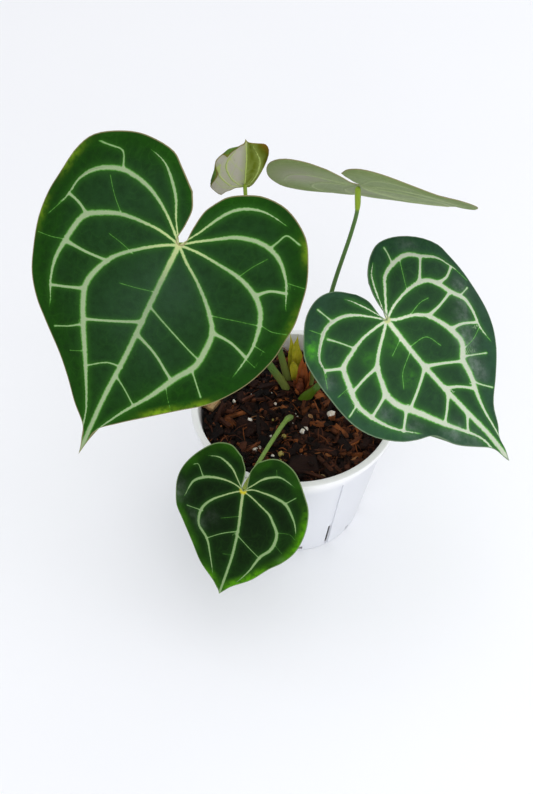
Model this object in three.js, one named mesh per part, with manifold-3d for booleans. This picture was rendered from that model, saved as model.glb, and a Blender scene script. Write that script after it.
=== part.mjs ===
// Crystal anthurium with five leaves, growing in a round plastic nursery pot.
// Millimetres, +Z up. The origin is the middle of the pot's base, on the surface it stands on.
// The front is -Y, where the small low leaf hangs over the rim.
import * as THREE from 'three';
import { mergeVertices } from 'three/addons/utils/BufferGeometryUtils.js';
import Module from 'manifold-3d';

const wasm = await Module();
wasm.setup();

// Pot
const POT_HEIGHT = 90;
const BASE_RADIUS = 42.8;
const MOUTH_RADIUS = 56;
const RIM_RADIUS = 60;
const RIM_DEPTH = 3.6;
const LIP_THICKNESS = 1.4;
const WALL = 1.6;
const FLOOR = 2;
const POT_SIDES = 40;
const GROOVE_COUNT = 8;
const FIRST_GROOVE = 28;
const GROOVE_WIDTH = 2.8;
const GROOVE_DEPTH = 0.9;
const GROOVE_TOP = 76;
const SLOT_TOP = 24;
const SLOT_WIDTH = 1.9;
const DRAIN_WIDTH = 3.2;
const DRAIN_HEIGHT = 6;

// Potting mix
const SOIL_LEVEL = 78.5;
const FIT_GAP = 0.3;
const CHIP_COUNT = 34;
const CHIP_SEED = 11;

// Plant
const BLADE = 0.8;
const FOOT_DEPTH = 13;
const HOLE_GAP = 0.35;
const STALK_SIDES = 8;
const STALK_STEPS = 17;
const MIDRIB_DEPTH = 1.2;
const RIB_DEPTH = 0.8;
const RIB_HALF_WIDTH = 1.5;
const RUNG_DEPTH = 0.45;
const QUILT = 0.9;

const COLOURS = {
  pot: [0xedeef1, 0.45],
  mix: [0x2a1810, 0.95],
  blade: [0x2c4a2c, 0.5],
  youngBlade: [0x66732c, 0.45],
  stalk: [0x66803a, 0.5],
  sheath: [0x98961d, 0.55],
  crown: [0x5e3120, 0.85],
};

const radians = (degrees) => degrees * Math.PI / 180;

// A repeatable stream of numbers from 0 to 1.
function randomStream(seed) {
  let state = seed;
  return () => {
    state = (state * 1664525 + 1013904223) % 4294967296;
    return state / 4294967296;
  };
}

function toSolid(geometry) {
  const bare = new THREE.BufferGeometry();
  bare.setAttribute('position', geometry.getAttribute('position'));
  if (geometry.index) bare.setIndex(geometry.index);
  const merged = mergeVertices(bare, 1e-4);
  const mesh = new wasm.Mesh({
    numProp: 3,
    vertProperties: new Float32Array(merged.getAttribute('position').array),
    triVerts: new Uint32Array(merged.index.array),
  });
  return new wasm.Manifold(mesh);
}

function toGeometry(solid) {
  const mesh = solid.getMesh();
  const geometry = new THREE.BufferGeometry();
  const positions = new Float32Array(mesh.vertProperties);
  geometry.setAttribute('position', new THREE.BufferAttribute(positions, 3));
  geometry.setIndex(new THREE.BufferAttribute(new Uint32Array(mesh.triVerts), 1));
  return geometry;
}

function indexed(points, triangles) {
  const geometry = new THREE.BufferGeometry();
  const flat = points.flatMap((point) => [point.x, point.y, point.z]);
  geometry.setAttribute('position', new THREE.Float32BufferAttribute(flat, 3));
  geometry.setIndex(triangles.flat());
  return geometry;
}

const spline = (points) => new THREE.CatmullRomCurve3(
  points.map((point) => new THREE.Vector3(point[0], point[1], point[2] ?? 0)),
  false,
  'centripetal',
);

// A closed body swept along a curve. ringAt(s) gives the section's outline at the fraction s.
function sweep(curve, steps, ringAt, sideways) {
  const points = [];
  const triangles = [];
  const count = ringAt(0).length;
  for (let step = 0; step <= steps; step += 1) {
    const s = step / steps;
    const centre = curve.getPoint(s);
    const along = curve.getTangent(s);
    const across = sideways.clone().addScaledVector(along, -sideways.dot(along)).normalize();
    const up = new THREE.Vector3().crossVectors(along, across);
    for (const [u, v] of ringAt(s)) {
      points.push(centre.clone().addScaledVector(across, u).addScaledVector(up, v));
    }
  }
  for (let step = 0; step < steps; step += 1) {
    for (let side = 0; side < count; side += 1) {
      const a = step * count + side;
      const b = step * count + (side + 1) % count;
      triangles.push([a, b, b + count], [a, b + count, a + count]);
    }
  }
  const last = steps * count;
  for (let side = 1; side < count - 1; side += 1) {
    triangles.push([0, side + 1, side], [last, last + side, last + side + 1]);
  }
  return indexed(points, triangles);
}

const circle = (radius) => Array.from({ length: STALK_SIDES }, (_, side) => {
  const angle = 2 * Math.PI * side / STALK_SIDES;
  return [radius * Math.cos(angle), radius * Math.sin(angle)];
});

// Pot: a tapered wall with a turned-out lip, shallow grooves that end in open slots at the base,
// and small drain holes at the base edge between them.
const wallRadius = (z) => BASE_RADIUS + (MOUTH_RADIUS + WALL - BASE_RADIUS) * z / POT_HEIGHT;
const insideRadius = (z) => wallRadius(z) - WALL;

function cutter(azimuth, width, inner, outer, bottom, top) {
  const lean = (wallRadius(top) - wallRadius(bottom)) / (top - bottom);
  const box = new THREE.BoxGeometry(width, outer - inner, top - bottom);
  const position = box.getAttribute('position');
  for (let i = 0; i < position.count; i += 1) {
    const z = position.getZ(i);
    position.setY(i, position.getY(i) - (inner + outer) / 2 - lean * z);
  }
  box.translate(0, 0, (bottom + top) / 2);
  box.rotateZ(radians(azimuth));
  return toSolid(box);
}

function makePot() {
  const under = POT_HEIGHT - LIP_THICKNESS;
  const skirt = POT_HEIGHT - RIM_DEPTH;
  const profile = [
    [0, 0],
    [BASE_RADIUS - 0.8, 0],
    [BASE_RADIUS, 0.8],
    [wallRadius(SLOT_TOP), SLOT_TOP],
    [wallRadius(under), under],
    [RIM_RADIUS - LIP_THICKNESS, under],
    [RIM_RADIUS - LIP_THICKNESS, skirt],
    [RIM_RADIUS - 0.3, skirt],
    [RIM_RADIUS, skirt + 0.5],
    [RIM_RADIUS, POT_HEIGHT - 0.7],
    [RIM_RADIUS - 0.7, POT_HEIGHT],
    [MOUTH_RADIUS + 0.6, POT_HEIGHT],
    [MOUTH_RADIUS, POT_HEIGHT - 0.6],
    [insideRadius(FLOOR), FLOOR],
    [0, FLOOR],
  ].map(([r, z]) => new THREE.Vector2(r, z));
  const lathe = new THREE.LatheGeometry(profile, POT_SIDES);
  lathe.rotateX(Math.PI / 2);
  let pot = toSolid(lathe);
  const middle = (bottom, top) => (wallRadius(bottom) + wallRadius(top)) / 2;
  for (let i = 0; i < GROOVE_COUNT; i += 1) {
    const azimuth = FIRST_GROOVE + 360 * i / GROOVE_COUNT;
    const face = middle(FLOOR, GROOVE_TOP) * Math.cos(Math.PI / POT_SIDES) - GROOVE_DEPTH;
    const groove = cutter(azimuth, GROOVE_WIDTH, face, face + 6, FLOOR, GROOVE_TOP);
    const low = middle(FLOOR + 0.4, SLOT_TOP);
    const slot = cutter(azimuth, SLOT_WIDTH, low - 4, low + 4, FLOOR + 0.4, SLOT_TOP);
    const drainAzimuth = azimuth + 180 / GROOVE_COUNT;
    const foot = middle(FLOOR + 0.4, DRAIN_HEIGHT);
    const drain = cutter(drainAzimuth, DRAIN_WIDTH, foot - 4, foot + 4, FLOOR + 0.4, DRAIN_HEIGHT);
    pot = pot.subtract(groove).subtract(slot).subtract(drain);
  }
  return pot;
}

// Leaf blades. A blade lies in its own frame: x from the stalk joint to the tip, y to the right
// seen from above, z up from the upper face. Each side has main veins that leave the joint and
// run out to the margin. The margin goes from the tip back to the inner end of the lobe, and
// ends says at which of its points each vein arrives. The sinus edge closes the side.
const LARGE_LEAF = {
  joint: [-56.6, -30, 237.8],
  normal: [-0.19, -0.86, 0.47],
  tipward: [-0.443, -0.353, -0.824],
  halfWidth: 65,
  droop: 8,
  lobeDroop: 3,
  fold: 0.16,
  arch: 7,
  wave: 1.6,
  midrib: [[30, -0.3], [60, -0.3], [90, -1.5], [110, -1.5]],
  right: {
    veins: [
      [[5, 6], [11, 15], [20, 25], [30, 32], [40, 33], [50, 32], [60, 26.5], [76, 19], [92, 10]],
      [[-1.5, 10], [-1.5, 20], [0, 33], [5, 43], [12, 48.5], [27, 52], [45, 50.5], [55, 48]],
      [[-5, 6], [-11, 14], [-17, 23], [-19.5, 34], [-17, 43], [-9, 51], [-2, 54.5], [5, 58]],
      [[-10, 6], [-20, 11], [-27, 16], [-31.5, 23], [-33, 31], [-32, 40]],
    ],
    margin: [
      [127.5, -1.3], [118, 0.2], [110, 1.6], [100, 10], [90, 19.5], [75, 35], [65, 46],
      [55, 53.5], [45, 59], [30, 63.5], [20, 64.2], [10, 64.5], [0, 63], [-10, 61], [-20, 57],
      [-31, 50], [-38.5, 37], [-38.5, 25], [-35, 17], [-30, 10], [-25, 6.5],
    ],
    ends: [0, 2, 6, 11, 15, 20],
    sinus: [[-1, 1.8], [-10, 2.5], [-20, 4]],
  },
  left: {
    veins: [
      [[4, -7], [10, -15], [20, -25], [30, -30], [40, -32], [50, -29], [57, -26], [78, -16],
        [100, -7]],
      [[-2, -10], [-2, -18], [0, -30], [5, -40], [10, -46], [20, -49], [37, -51], [48, -49],
        [58, -45]],
      [[-6, -6], [-12, -13], [-17, -22], [-19, -32], [-18, -40], [-12, -50], [-4, -55.5],
        [7, -58], [15, -62]],
      [[-10, -6], [-20, -11], [-27, -17], [-31, -22], [-33, -30], [-33, -37]],
    ],
    margin: [
      [127.5, -1.3], [118, -3], [110, -5], [100, -14], [90, -22], [80, -31], [68, -44],
      [60, -52], [50, -59], [40, -63], [24, -67.4], [10, -68], [0, -66.5], [-15, -63.5],
      [-25, -58], [-35, -43], [-38, -33], [-37.5, -20], [-33, -14], [-25, -5],
    ],
    ends: [0, 2, 6, 10, 15, 19],
    sinus: [[-1, -1.8], [-10, -1.2], [-18, -1.4]],
  },
};

const RIGHT_LEAF = {
  joint: [44.9, -20, 178.8],
  normal: [0.27, -0.5, 0.82],
  tipward: [0.659, -0.526, -0.538],
  halfWidth: 52,
  droop: 6,
  lobeDroop: 3,
  fold: 0.14,
  arch: 6,
  wave: 1.4,
  midrib: [[20, -1], [40, -0.5], [60, 1], [80, 3]],
  right: {
    veins: [
      [[3, 4], [7, 12], [12, 18], [20, 22], [28, 24], [35, 24], [42, 18], [50, 16], [65, 10.5]],
      [[-3, 8], [-4, 16], [-3.5, 25], [-1, 32], [4, 36], [12, 39], [20, 43], [27, 42], [37, 38.5]],
      [[-5, 4], [-12, 10], [-17, 15], [-19, 22], [-18, 33], [-12, 40], [-6, 47], [2, 51]],
      [[-9, 3.5], [-17, 7], [-23, 11]],
    ],
    margin: [
      [97.5, 3], [91, 5.2], [85, 7.5], [80, 11], [70, 16], [60, 27], [50, 38], [40, 46.5],
      [30, 52], [14, 55.6], [6, 56], [-3, 55.2], [-10, 54], [-20, 47], [-29, 35], [-32, 25],
      [-30, 18], [-25, 11], [-20, 6.5],
    ],
    ends: [0, 2, 6, 9, 15, 18],
    sinus: [[-1, 1.5], [-6, 1.8], [-14, 3.5]],
  },
  left: {
    veins: [
      [[4, -7], [8, -14], [14, -21], [22, -25], [28, -27], [35, -26], [42, -22], [59, -13],
        [78, -2]],
      [[-1, -8], [-1.5, -18], [0, -26], [3, -34.5], [12, -38.5], [22, -41.5], [31, -40],
        [42, -35.5], [53, -27]],
      [[-7, -6], [-13, -12], [-17, -19], [-17.5, -28], [-13, -36], [-8, -41], [-1, -43]],
      [[-8, -3], [-15, -6], [-20, -8.5], [-25, -12.5]],
    ],
    margin: [
      [97.5, 3], [92, 1.4], [86, -0.8], [80, -6.5], [75, -11.5], [70, -15.5], [60, -21],
      [55, -30], [50, -37], [40, -45], [30, -49], [20, -50], [10, -49.5], [0, -48.5],
      [-13, -45.5], [-20, -40], [-28.5, -30.5], [-31.5, -20], [-29, -12], [-20, -3],
    ],
    ends: [0, 2, 6, 12, 17, 19],
    sinus: [[-1, -1.5], [-6, -1.2], [-13, -0.8]],
  },
};

const FRONT_LEAF = {
  joint: [-28.7, -70, 100.4],
  normal: [-0.31, -0.79, 0.52],
  tipward: [-0.216, -0.476, -0.852],
  halfWidth: 38,
  droop: 4,
  lobeDroop: 2,
  fold: 0.14,
  arch: 4,
  wave: 0.8,
  midrib: [[10, 1], [20, 2], [30, 2.3], [40, 2], [50, 1], [58, 0]],
  right: {
    veins: [
      [[2, 6], [5, 12], [8, 17], [12, 20], [17, 23], [22, 23.5], [28, 22], [34, 17.5], [45, 13]],
      [[-2.5, 5], [-3, 12], [-2.5, 18], [-0.5, 24], [4, 28], [9, 31], [15, 33]],
      [[-5, 4.5], [-10, 9], [-13, 14], [-14, 18], [-12, 24]],
    ],
    margin: [
      [66, -1], [62.5, 1.8], [59, 5], [50, 15.5], [40, 23.5], [34, 29.5], [26, 34.8], [17, 37.2],
      [9, 37.5], [0, 36], [-7, 32.5], [-17, 26], [-21, 21], [-23, 15], [-22, 10], [-18, 4],
    ],
    ends: [0, 2, 6, 10, 15],
    sinus: [[-1, 1.3], [-6, 1.4], [-12, 1.5]],
  },
  left: {
    veins: [
      [[2, -4], [6, -10], [11, -16], [17, -20], [22, -21], [28, -20], [34, -14], [45, -9.5]],
      [[-2, -4], [-3, -11], [-2, -18], [0, -23], [4, -28], [8, -30], [15, -32]],
      [[-5, -4], [-10, -8], [-13, -13], [-14, -17], [-13, -22]],
    ],
    margin: [
      [66, -1], [63, -2.2], [59, -5], [50, -15], [40, -22.5], [30, -30.5], [23, -36], [15, -38],
      [8, -38.6], [0, -37], [-10, -31.5], [-19, -23], [-21.5, -18], [-22, -12], [-18, -5],
    ],
    ends: [0, 2, 6, 10, 14],
    sinus: [[-1, -1.2], [-6, -1.1], [-12, -1.5]],
  },
};

// Seen from below and nearly edge-on, with its tip curled up to the back right.
const BACK_LEAF = {
  joint: [29.6, 24.3, 230.1],
  normal: [0.17, 0.684, 0.709],
  tipward: [0.589, 0.507, -0.63],
  halfWidth: 49,
  droop: -9,
  lobeDroop: -4,
  fold: 0.04,
  arch: 2.6,
  wave: 1.2,
  midrib: [[34, 0.5], [62, 0], [90, -1]],
  right: {
    veins: [
      [[9, 10.5], [19, 20], [31.5, 25], [45, 25], [62, 17.7], [83, 9]],
      [[-1, 11.5], [0, 24], [8, 33.5], [22.5, 39], [38, 38.7], [49.5, 36.8]],
      [[-9, 9.5], [-16, 18], [-17, 29.6], [-8, 40], [2, 44.5]],
    ],
    margin: [
      [116, -1], [108, 0.5], [101, 2.4], [90, 8.6], [81, 15.3], [67.5, 27.2], [56, 36.8],
      [45, 43.5], [29, 48.3], [11, 49.5], [0, 48.4], [-18, 43.5], [-31.5, 33.5], [-35, 23],
      [-31, 12.4], [-22.5, 4.8],
    ],
    ends: [0, 2, 6, 10, 15],
    sinus: [[-1, 1.6], [-8, 1.9], [-16, 2.9]],
  },
  left: {
    veins: [
      [[9, -10.5], [19, -20], [31.5, -24], [45, -24], [62, -17.2], [83, -8.6]],
      [[-1, -11.5], [0, -24], [7, -33.5], [20, -38.2], [36, -39.2], [49.5, -36.3]],
      [[-9, -9.5], [-16, -18], [-17, -29.6], [-9, -40], [2, -45]],
    ],
    margin: [
      [116, -1], [108, -2.4], [101, -4.3], [90, -10.5], [81, -17.2], [67.5, -28.7],
      [56, -37.8], [45, -44.5], [29, -49.2], [11, -51], [0, -49.7], [-18, -44.5],
      [-31.5, -33.5], [-35, -24], [-31.5, -13.4], [-22.5, -3.8],
    ],
    ends: [0, 2, 6, 10, 15],
    sinus: [[-1, -1.6], [-8, -1.5], [-16, -1.9]],
  },
};

// Not yet spread out: it stands upright with its underside to the front.
const YOUNG_LEAF = {
  joint: [-27.6, 30, 224],
  normal: [-0.15, 0.985, -0.04],
  tipward: [0.08, 0.05, 0.995],
  halfWidth: 16,
  droop: -1,
  lobeDroop: 1,
  fold: 0.3,
  arch: -1,
  wave: 0.6,
  midrib: [[9, 0.1], [18, 0]],
  right: {
    veins: [
      [[2.7, 3.2], [6.3, 5.6], [10.6, 6.9], [15.4, 7], [19.5, 5.2]],
    ],
    margin: [
      [27.4, -0.9], [26.1, 0], [25.6, 1.8], [24.9, 5.6], [24, 9.4], [20.7, 11.3],
      [15.3, 10.9], [7.8, 8.4], [3.2, 6.2], [0.6, 4.6], [-0.7, 2.9],
    ],
    ends: [0, 2, 10],
    sinus: [[-0.2, 1.2]],
  },
  left: {
    veins: [
      [[4.2, -6.1], [7.9, -8.4], [11.6, -9.7], [15.5, -9], [19, -6.8]],
      [[0.8, -6.9], [3.4, -10.2], [6.2, -12.6], [9.9, -13.6], [13.5, -13.3]],
    ],
    margin: [
      [27.4, -0.9], [24.8, -1.7], [23.1, -3.9], [21.9, -9], [19.4, -11.4], [15.3, -14.6],
      [9.9, -15.5], [3.9, -17], [0.1, -16.6], [-3.4, -14.5], [-5.6, -11.4], [-3.8, -9],
      [-2.6, -6.5], [-0.9, -4.4],
    ],
    ends: [0, 2, 5, 13],
    sinus: [[-0.4, -1.8]],
  },
};

const flatPoint = (point) => new THREE.Vector3(point[0], point[1], 0);

// One side of a blade as a function of (u, t). u counts the veins from the midrib, 0, to the
// sinus edge, and t runs from the joint to the margin.
function bladeSide(leaf, side) {
  const margin = new THREE.CatmullRomCurve3(side.margin.map(flatPoint), false, 'centripetal');
  const lastPoint = side.margin.length - 1;
  const lines = [leaf.midrib, ...side.veins, side.sinus].map((points, i) => spline(
    [[0, 0], ...points, side.margin[side.ends[i]]],
  ));
  const lineCount = lines.length - 1;
  const marginAt = (u) => {
    const strip = Math.min(Math.floor(u), lineCount - 1);
    const [from, to] = [side.ends[strip], side.ends[strip + 1]];
    return margin.getPoint((from + (to - from) * (u - strip)) / lastPoint);
  };
  const at = (u, t) => {
    const strip = Math.min(Math.floor(u), lineCount - 1);
    const part = u - strip;
    const mix = (s) => lines[strip].getPointAt(s).lerp(lines[strip + 1].getPointAt(s), part);
    return mix(t).addScaledVector(marginAt(u).sub(mix(1)), t ** 3);
  };
  return { at, lines, lineCount };
}

// The rows of one side: each vein with a row close on both sides of it, and rows between.
function bladeRows(side, between) {
  const rows = [];
  const gapAt = (strip, t) => side.lines[strip].getPointAt(t)
    .distanceTo(side.lines[strip + 1].getPointAt(t));
  const flank = (strip, t) => Math.min(RIB_HALF_WIDTH / Math.max(gapAt(strip, t), 0.1), 0.26);
  for (let strip = 0; strip < side.lineCount; strip += 1) {
    rows.push({ vein: strip, u: () => strip });
    rows.push({ vein: -1, u: (t) => strip + flank(strip, t) });
    for (let i = 1; i <= between[strip]; i += 1) {
      const share = i / (between[strip] + 1);
      rows.push({ vein: -1, strip, u: () => strip + 0.26 + 0.48 * share });
    }
    if (strip < side.lineCount - 1) {
      rows.push({ vein: -1, u: (t) => strip + 1 - flank(strip, t) });
    }
  }
  rows.push({ vein: -1, u: () => side.lineCount });
  return rows;
}

// Steps from the joint to the margin. The steps at the fractions in RUNGS carry the cross veins.
const STEPS = [0, 0.1, 0.2, 0.27, 0.34, 0.45, 0.52, 0.59, 0.69, 0.76, 0.83, 0.92, 1];
const RUNGS = [0.27, 0.52, 0.76];

function makeBlade(leaf, between, steps) {
  const normal = new THREE.Vector3(...leaf.normal).normalize();
  const ahead = new THREE.Vector3(...leaf.tipward);
  ahead.addScaledVector(normal, -ahead.dot(normal)).normalize();
  const right = new THREE.Vector3().crossVectors(normal, ahead);
  const joint = new THREE.Vector3(...leaf.joint);
  const length = leaf.right.margin[0][0];

  // Height of the blade over its plane: folded at the midrib, arched to the margin, and
  // drooping to the tip and to the lobes.
  const height = (x, y) => {
    const along = x > 0 ? leaf.droop * (x / length) ** 2
      : leaf.lobeDroop * (x / (0.32 * length)) ** 2;
    const folded = leaf.fold * (Math.sqrt(y * y + 9) - 3);
    const arched = (leaf.arch + leaf.fold * (leaf.halfWidth - 3)) * (y / leaf.halfWidth) ** 2;
    return folded - along - arched;
  };

  const makeRow = (side, sign, row) => steps.map((t) => {
    const u = row.u(t);
    const flat = side.at(u, t);
    const isRung = RUNGS.includes(t) && row.strip !== undefined
      && row.strip < side.lineCount - 1;
    const grown = Math.min(1, t * 6);
    const ends = Math.sin(Math.PI * t) ** 0.5;
    const quilt = row.strip === undefined || isRung ? 0 : QUILT * ends;
    const waved = leaf.wave * t ** 4 * Math.sin(u * 3.4 + sign);
    const ripple = waved * Math.min(1, u * 1.5);
    let rib = isRung ? RUNG_DEPTH : 0;
    if (row.vein === 0) rib = MIDRIB_DEPTH * grown * (1 - 0.7 * t);
    if (row.vein > 0) rib = RIB_DEPTH * grown * (1 - 0.7 * t);
    const top = height(flat.x, flat.y) + quilt + ripple;
    const place = (lift) => joint.clone().addScaledVector(ahead, flat.x)
      .addScaledVector(right, flat.y).addScaledVector(normal, lift);
    return [place(top), place(top - BLADE - rib)];
  });

  const rightSide = bladeSide(leaf, leaf.right);
  const leftSide = bladeSide(leaf, leaf.left);
  const rows = [
    ...bladeRows(leftSide, between).slice(1).reverse().map((row) => makeRow(leftSide, -1, row)),
    ...bladeRows(rightSide, between).map((row) => makeRow(rightSide, 1, row)),
  ];

  const points = [rows[0][0][0], rows[0][0][1]];
  const last = steps.length - 1;
  rows.forEach((row) => row.slice(1).forEach((pair) => points.push(...pair)));
  const number = (r, k, face) => (k === 0 ? face : 2 + (r * last + k - 1) * 2 + face);
  const triangles = [];
  const quad = (a, b, c, d) => triangles.push([a, b, c], [a, c, d]);
  for (let r = 0; r < rows.length - 1; r += 1) {
    triangles.push([0, number(r, 1, 0), number(r + 1, 1, 0)]);
    triangles.push([1, number(r + 1, 1, 1), number(r, 1, 1)]);
    for (let k = 1; k < last; k += 1) {
      const [a, b, c, d] = [[r, k], [r, k + 1], [r + 1, k + 1], [r + 1, k]];
      triangles.push([number(...a, 0), number(...b, 0), number(...c, 0)]);
      triangles.push([number(...a, 0), number(...c, 0), number(...d, 0)]);
      triangles.push([number(...a, 1), number(...c, 1), number(...b, 1)]);
      triangles.push([number(...a, 1), number(...d, 1), number(...c, 1)]);
    }
    quad(number(r + 1, last, 0), number(r, last, 0), number(r, last, 1), number(r + 1, last, 1));
  }
  const end = rows.length - 1;
  for (let k = 0; k < last; k += 1) {
    quad(number(0, k + 1, 0), number(0, k, 0), number(0, k, 1), number(0, k + 1, 1));
    quad(number(end, k, 0), number(end, k + 1, 0), number(end, k + 1, 1), number(end, k, 1));
  }
  return indexed(points, triangles);
}

// Stalks: each stands in its own hole in the mix and ends just under its blade's joint.
// A row gives the leaf, the foot in the mix, the points passed on the way, the radius at the foot
// and at the top, and then the radius and length of the swollen joint below the blade.
const ROUNDED_END = 0.62;

function stalkEnd(leaf, before, jointRadius) {
  const normal = new THREE.Vector3(...leaf.normal).normalize();
  const joint = new THREE.Vector3(...leaf.joint);
  const along = joint.clone().sub(new THREE.Vector3(...before)).normalize();
  const slant = Math.sqrt(1 - along.dot(normal) ** 2);
  const drop = BLADE + FIT_GAP + jointRadius * ROUNDED_END * slant;
  const end = joint.addScaledVector(normal, -drop);
  return [end.x, end.y, end.z];
}

const stalk = (leaf, foot, via, footRadius, topRadius, jointRadius, swelling) => ({
  path: [
    [foot[0], foot[1], SOIL_LEVEL - FOOT_DEPTH],
    [foot[0], foot[1], SOIL_LEVEL - 1],
    ...via,
    stalkEnd(leaf, via[via.length - 1], jointRadius),
  ],
  footRadius,
  topRadius,
  jointRadius,
  swelling,
});

const STALKS = {
  petiole_left: stalk(
    LARGE_LEAF,
    [-4, 20.4],
    [[-14, 14, 107], [-34, -5, 168], [-47, -18.5, 208]],
    ...[2.7, 1.35, 1.8, 16],
  ),
  petiole_right: stalk(
    RIGHT_LEAF,
    [5.4, 12.4],
    [[12.5, 10, 92], [27, -3, 128], [38, -13, 158]],
    ...[2.6, 1.3, 1.8, 12],
  ),
  petiole_front: stalk(
    FRONT_LEAF,
    [-1.3, -1],
    [[-4, -7, 84.5], [-13, -29, 92], [-22, -52, 97.5]],
    ...[2, 1.1, 1.6, 8],
  ),
  petiole_back: stalk(
    BACK_LEAF,
    [9.6, 23],
    [[13, 23, 106], [19.7, 24.3, 157], [28, 24.6, 199], [30, 24.5, 213]],
    ...[2.1, 1.05, 1.55, 14],
  ),
  petiole_young: stalk(
    YOUNG_LEAF,
    [-3.4, 27.4],
    [[-8.6, 27, 106.5], [-18, 27, 155], [-26, 28, 203]],
    ...[2.6, 0.95, 1.05, 6],
  ),
};

const BLADES = {
  blade_left: LARGE_LEAF,
  blade_right: RIGHT_LEAF,
  blade_front: FRONT_LEAF,
  blade_back: BACK_LEAF,
};

function makeStalk({ path, footRadius, topRadius, jointRadius, swelling }, steps, extra) {
  const [[x, y, z], ...rest] = path;
  const curve = spline([[x, y, z - extra], ...rest]);
  curve.arcLengthDivisions = 400;
  const length = curve.getLength();
  const radiusAt = (s) => {
    const toEnd = (1 - s) * length;
    const base = topRadius + (footRadius - topRadius) * (1 - s) ** 2;
    const joint = (jointRadius - topRadius) / (1 + Math.exp((toEnd - swelling) / 1.2));
    const rounded = Math.min(1, ROUNDED_END + 0.32 * toEnd);
    return (base + joint) * (extra ? 1 : rounded) + extra;
  };
  const byLength = {
    getPoint: (s) => curve.getPointAt(s),
    getTangent: (s) => curve.getTangentAt(s),
  };
  return sweep(byLength, steps, (s) => circle(radiusAt(s)), new THREE.Vector3(1, 0, 0));
}

// Sheaths: pointed boat-shaped bud scales that stand round the crown.
const SHEATH_THICKNESS = 1.1;
const SHEATHS = {
  sheath_tall: {
    path: [[-0.8, 33, 66], [-0.8, 33, 80], [-1.6, 31.5, 98], [-2.2, 29.5, 118]],
    width: 2.7,
  },
  sheath_split: {
    path: [[5.4, 31.4, 66], [5.4, 31.4, 80], [5.2, 30.5, 96], [3.6, 29, 114]],
    width: 2.7,
  },
  sheath_short: {
    path: [[2.2, 26.2, 68], [2.2, 26.2, 79], [1.4, 24.6, 90], [-0.2, 22.6, 101]],
    width: 2,
  },
};

function makeSheath({ path, width }, grow) {
  const ringAt = (s) => {
    const taper = Math.max(0.14, Math.min(1, (1 - s) * 1.9) ** 0.8);
    const half = width * taper;
    const back = half * 0.62;
    const [wide, deep] = [half + grow, back + grow];
    const inside = grow ? -grow : Math.min(back - SHEATH_THICKNESS, back * 0.35);
    return [
      [wide, -grow],
      [wide * 0.76, deep * 0.68],
      [0, deep],
      [-wide * 0.76, deep * 0.68],
      [-wide, -grow],
      [-wide * 0.5, inside * 0.8],
      [0, inside],
      [wide * 0.5, inside * 0.8],
    ];
  };
  const [first, ...rest] = path;
  const curve = spline([[first[0], first[1], first[2] - grow], ...rest]);
  return sweep(curve, 10, ringAt, new THREE.Vector3(1, 0, 0));
}

// Crown: the stub of old stem between the stalks, ribbed by torn brown sheath ends.
const CROWN = { centre: [3.6, 19.4], radius: 2.9, height: 11, sides: 12 };

function makeCrown(grow) {
  const [x, y] = CROWN.centre;
  const curve = spline([[x, y, SOIL_LEVEL - 10 - grow], [x, y, SOIL_LEVEL + CROWN.height]]);
  const ringAt = (s) => Array.from({ length: CROWN.sides }, (_, side) => {
    const angle = 2 * Math.PI * side / CROWN.sides;
    const ragged = side % 2 ? 0.86 : 1;
    const taper = s < 0.5 ? 1 : 1 - 1.1 * (s - 0.5);
    const radius = CROWN.radius * ragged * taper + grow;
    return [radius * Math.cos(angle), radius * Math.sin(angle)];
  });
  return sweep(curve, 6, ringAt, new THREE.Vector3(1, 0, 0));
}

// Potting mix: a filled body with an uneven top, bark chips fused into it, and plain holes
// for everything that stands in it.
const CHIP_FREE_RADIUS = 7;

function soilBody() {
  const rings = 5;
  const sides = 32;
  const points = [new THREE.Vector3(0, 0, FLOOR), new THREE.Vector3(0, 0, SOIL_LEVEL)];
  const triangles = [];
  const ringStart = (ring) => 2 + ring * sides;
  const edge = (z) => (insideRadius(z) - FIT_GAP) * Math.cos(Math.PI / POT_SIDES);
  const addRing = (radius, heightAt) => {
    for (let side = 0; side < sides; side += 1) {
      const angle = 2 * Math.PI * side / sides;
      const [x, y] = [radius * Math.cos(angle), radius * Math.sin(angle)];
      points.push(new THREE.Vector3(x, y, heightAt(x, y)));
    }
  };
  const bumps = (x, y) => SOIL_LEVEL + 0.8 * Math.sin(x * 0.31 + 1) * Math.cos(y * 0.27)
    - 1.2 * (Math.hypot(x, y) / MOUTH_RADIUS) ** 4;
  addRing(edge(FLOOR), () => FLOOR);
  const rimZ = SOIL_LEVEL - 2.4;
  addRing(edge(rimZ), () => rimZ);
  for (let ring = rings - 1; ring > 0; ring -= 1) {
    addRing((edge(rimZ) - 0.4) * ring / (rings - 0.6), bumps);
  }
  const levels = rings + 1;
  for (let side = 0; side < sides; side += 1) {
    const next = (side + 1) % sides;
    triangles.push([0, 2 + next, 2 + side]);
    for (let level = 0; level < levels - 1; level += 1) {
      const [a, b] = [ringStart(level) + side, ringStart(level) + next];
      const [c, d] = [ringStart(level + 1) + next, ringStart(level + 1) + side];
      triangles.push([a, b, c], [a, c, d]);
    }
    triangles.push([ringStart(levels - 1) + side, ringStart(levels - 1) + next, 1]);
  }
  return toSolid(indexed(points, triangles));
}

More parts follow.
